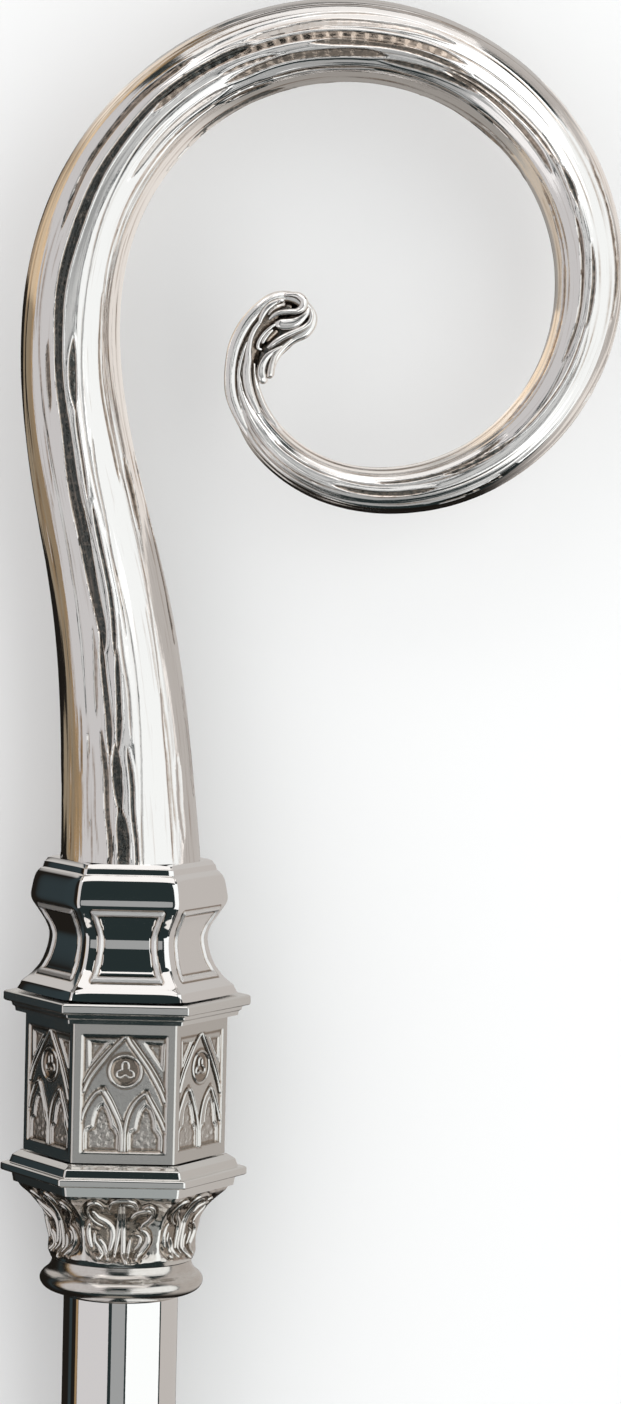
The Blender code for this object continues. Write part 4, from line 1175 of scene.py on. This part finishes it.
def make_capital():
    """The bell with its six leaves, and their ribs."""
    body = filled(through(CAPITAL_LEVELS, spacing=0.3), 0.3)
    bell = six_sided_piece("leaf_capital_silver", capped(body), CARVED, ["leaf_capital"], 80, 0.8,
                           capital_relief, capital_roundness, sharp=60)
    top = CAPITAL_LEVELS[0][1]
    strands = []
    for half_width, high, route in CAPITAL_RIBS:
        taper = RIB_TAPER[0] + RIB_TAPER[1] * np.sin(np.linspace(0.1, math.pi - 0.1, len(route)))
        places = [(x, top + y, high, half_width * share) for (x, y), share in zip(route, taper)]
        strands.append((*RIB_SHAPE, places))
    face = strand_mesh("capital_ribs", strands, ridge=0.3, ground=capital_ground, columns=11,
                       spacing=0.35)
    return bell, set_round(face, CARVED, ["leaf_capital"], sharp=60)


def make_neck_ring():
    """The turned ring between the capital and the shaft."""
    body = filled(through(NECK_RING, spacing=0.4), 0.4)
    return turned_piece("neck_ring_silver", capped(body), TURNED, ["neck_ring"], stain=0.12)


# ---------------------------------------------------------------- the shaft and foot

SHAFT_EDGE = 0.4  # width of the chamfer at both ends
# Radius and height over the tip
FOOT_PROFILE = ((14.2, 62.0), (15.9, 61.0), (16.4, 59.6), (15.9, 58.2), (14.6, 57.0), (13.7, 21.0),
                (15.4, 17.0), (15.4, 10.0), (13.8, 3.4), (11.6, 0.7), (10.4, 0.0))


def make_shaft():
    """The plain round shaft."""
    body = filled(np.array([(SHAFT_RADIUS, SHAFT_TOP), (SHAFT_RADIUS, -SHAFT_END)]), 25.0)
    inner = SHAFT_RADIUS - SHAFT_EDGE
    body = np.vstack([(inner, SHAFT_TOP), body, (inner, -SHAFT_END)])
    body[1, 1] -= SHAFT_EDGE
    body[-2, 1] += SHAFT_EDGE
    return turned_piece("shaft_silver", capped(body), SHAFT, ["shaft"], sides=96)


def make_foot():
    """The plain turned foot, with a ring at its top and a thicker tip."""
    outline = [(radius, FOOT_TIP + height) for radius, height in FOOT_PROFILE]
    body = filled(softened(outline, 0.8), 1.2)
    return turned_piece("foot_ferrule_silver", capped(body), CORNICE, ["foot_ferrule"])


# ---------------------------------------------------------------- the studio

def staff_place(across, up, out):
    """A place in the staff's frame, in metres in the model's."""
    return STAFF @ Vector((across, up, out))


FLOOR_REACH = 10.0


def make_floor():
    """A wide sheet of white paper, which the silver doesn't mirror."""
    paper = bpy.data.materials.new("studio paper")
    paper.use_nodes = True
    shader = paper.node_tree.nodes["Principled BSDF"]
    shader.inputs["Base Color"].default_value = (0.82, 0.82, 0.82, 1)
    shader.inputs["Roughness"].default_value = 0.9
    shader.inputs["Specular IOR Level"].default_value = 0.2
    corners = [(x * FLOOR_REACH, y * FLOOR_REACH, 0) for x, y in ((-1, -1), (1, -1), (1, 1), (-1, 1))]
    mesh = bpy.data.meshes.new("floor")
    mesh.from_pydata(corners, [], [(0, 1, 2, 3)])
    mesh.materials.append(paper)
    floor = bpy.data.objects.new("floor", mesh)
    floor.visible_glossy = False
    bpy.context.scene.collection.objects.link(floor)


WHITE = (1, 1, 1)
COOL = (0.98, 1.0, 1.0)
ROSY = (1.0, 0.965, 0.97)


def soft_light(name, place, aim, size, radiance, colour=WHITE, only=()):
    """A flat soft light. place and aim are in the staff's frame, in mm, and size is in mm: along
    the staff (or across it, for a light beyond its end), then the other way. A light with a list
    of pieces is screened from all the others."""
    lamp = bpy.data.lights.new(name, "AREA")
    lamp.shape = "RECTANGLE"
    lamp.size = size[0] * MM
    lamp.size_y = size[1] * MM
    lamp.energy = radiance * math.pi * lamp.size * lamp.size_y
    lamp.color = colour
    light = bpy.data.objects.new(name, lamp)
    light.location = staff_place(*place)
    way = staff_place(*aim) - light.location
    light.rotation_euler = way.to_track_quat("-Z", "Y").to_euler()
    light.visible_camera = False
    bpy.context.scene.collection.objects.link(light)
    if only:
        reached = bpy.data.collections.new("reached by the " + name)
        for piece in only:
            reached.objects.link(piece)
        light.light_linking.receiver_collection = reached
    return light


LIGHT_DISTANCE = 1500.0


def side_light(name, low, high, up, length, radiance, colour=WHITE, only=()):
    """A softbox seen from the staff between two angles from overhead, towards +X where positive.

    up is the height of its middle along the staff, and length its own length that way.
    """
    middle = math.radians((low + high) / 2)
    half = math.radians((high - low) / 2)
    place = (math.sin(middle) * LIGHT_DISTANCE, up, math.cos(middle) * LIGHT_DISTANCE)
    size = (length, 2 * math.tan(half) * LIGHT_DISTANCE)
    soft_light(name, place, (0, up, 0), size, radiance, colour, only)


def make_lights(crook, capital, shaft):
    """A large softbox on the crook's inner side, a weaker one opposite, one beyond the crook's top
    and a grey card over the camera. Others reach only the crook, only the lowest pieces of the
    knop, or only the shaft and its foot. The room light is for the floor: no silver mirrors it."""
    side_light("key softbox", 14, 87, 50, 2600, 1.04, COOL)
    side_light("fill softbox", -93, -23, 300, 3400, 0.62, ROSY)
    soft_light("end softbox", (0, 1750, 600), (0, 150, 0), (2200, 1500), 1.0, (1.0, 0.97, 0.95))
    soft_light("overhead card", (-90, -180, 1650), (-90, -180, 0), (780, 860), 0.33)
    side_light("crook warm card", -124, -100, 0, 2600, 0.27, (1.0, 0.75, 0.47), crook)
    side_light("crook top warm card", -150, -95, 1300, 2000, 0.42, (1.0, 0.77, 0.53), crook)
    side_light("crook edge light", 87, 95, 50, 2600, 0.66, (1.0, 0.97, 0.94), crook)
    for name, place, aim, size, radiance, colour, only in (
        ("crook top light", (450, 1200, 1500), (60, 190, 0), (1700, 1500), 0.92, WHITE, crook),
        ("crook low light", (60, -900, 1200), (60, 190, 0), (2600, 1100), 0.40, WHITE, crook),
        ("crook floor card", (66, 141, -12), (66, 141, 100), (164, 108), 0.34, (1, 0.95, 0.89), crook),
        ("crook card", (-90, 120, 1600), (-90, 120, 0), (760, 640), 0.32, WHITE, crook),
        ("capital card", (-60, -1180, 1480), (-60, -80, 0), (1350, 1100), 0.36, (0.96, 1, 1), capital),
        ("capital low card", (-60, -1500, -110), (-60, -80, 0), (560, 1300), 0.3, (1, 0.9, 0.8), capital),
    ):
        soft_light(name, place, aim, size, radiance, colour, only)
    for up in (-2900, 3000):
        side_light("shaft key softbox", 14, 87, up, 3300, 0.95, COOL, shaft)
    for up in (-3050, 3650):
        side_light("shaft fill softbox", -93, -23, up, 3300, 0.62, ROSY, shaft)
    soft_light("shaft floor card", (-230, -640, -12), (-230, -640, 100), (760, 420), 0.40, only=shaft)
    room = soft_light("room light", (0, 0, 3000), (0, 0, 0), (12000, 12000), 0.80)
    room.visible_glossy = False


ROOM_ABOVE = (0.020, 0.030, 0.031)
ROOM_BELOW = (0.014, 0.012, 0.010)
PALE_SIDE = (0.53, 0.50, 0.475)
PALE_AHEAD = (0.56, 0.54, 0.52)
WARM_GLEAM = (0.46, 0.31, 0.16)
DULL_PATCH = (0.030, 0.043, 0.048)


def make_room():
    """The room below and round the softboxes: nearly black, but pale low down on the crook's inner
    side and lower still towards the staff's head, with a warm gleam low on the outer side and a
    dull patch under it."""
    world = bpy.data.worlds.new("studio room")
    world.use_nodes = True
    wiring = Wiring(world.node_tree)
    way = wiring.node("ShaderNodeTexCoord").outputs["Generated"]
    height = wiring.node("ShaderNodeSeparateXYZ", (way,)).outputs["Z"]
    level = wiring.node("ShaderNodeVectorMath", (way, (1, 1, 0)), operation="MULTIPLY").outputs[0]
    level = wiring.node("ShaderNodeVectorMath", (level,), operation="NORMALIZE").outputs[0]

    def risen(start, full):
        """0 at one height of the view and 1 at another."""
        return wiring.scaled(height, start, full, 0.0, 1.0, smooth=True)

    def towards(azimuth, edge, full):
        """1 round one direction and 0 away from it, between two angles from it."""
        angle = math.radians(azimuth)
        facing = wiring.node("ShaderNodeVectorMath", (level, (math.cos(angle), math.sin(angle), 0)),
                             operation="DOT_PRODUCT").outputs["Value"]
        return wiring.scaled(facing, math.cos(math.radians(edge)), math.cos(math.radians(full)),
                             0.0, 1.0, smooth=True)

    below = risen(0.0, -0.03)
    ahead = wiring.times(risen(-0.22, -0.34), towards(88, 62, 50))
    pale = wiring.times(below, towards(12, 75, 50))
    gleam = wiring.times(wiring.times(risen(-0.05, -0.09), risen(-0.20, -0.15)), towards(155, 55, 20))
    dull = wiring.times(wiring.times(risen(-0.36, -0.42), risen(-0.60, -0.50)), towards(165, 70, 50))
    tone = wiring.mixed(below, ROOM_ABOVE, ROOM_BELOW)
    for share, colour in ((pale, PALE_SIDE), (ahead, PALE_AHEAD), (gleam, WARM_GLEAM), (dull, DULL_PATCH)):
        tone = wiring.mixed(share, tone, colour)
    world.node_tree.links.new(tone, world.node_tree.nodes["Background"].inputs["Color"])
    bpy.context.scene.world = world


CAMERA_PLACE = (15, 120, 1247)
CAMERA_AIM = (43, 39, 0)
CAMERA_ROLL = math.radians(1.35)
CAMERA_LENS = 131.8


def make_camera():
    """A long lens, nearly straight over the knop and the crook."""
    lens = bpy.data.cameras.new("camera")
    lens.sensor_fit = "VERTICAL"
    lens.sensor_height = 36
    lens.lens = CAMERA_LENS
    camera = bpy.data.objects.new("camera", lens)
    place = staff_place(*CAMERA_PLACE)
    back = (place - staff_place(*CAMERA_AIM)).normalized()
    upright = Vector((-math.sin(CAMERA_ROLL), math.cos(CAMERA_ROLL), 0))
    right = upright.cross(back).normalized()
    turn = Matrix((right, back.cross(right), back)).transposed().to_4x4()
    camera.matrix_world = Matrix.Translation(place) @ turn
    bpy.context.scene.collection.objects.link(camera)
    bpy.context.scene.camera = camera


make_camera()
make_floor()
make_lights([make_crook_bar(), make_crook_leaf()], [make_cornices(), *make_capital(), make_neck_ring()],
            [make_shaft(), make_foot()])
make_room()
make_crown()
make_drum()

bpy.context.scene.view_settings.view_transform = "Standard"
bpy.context.view_layer.update()
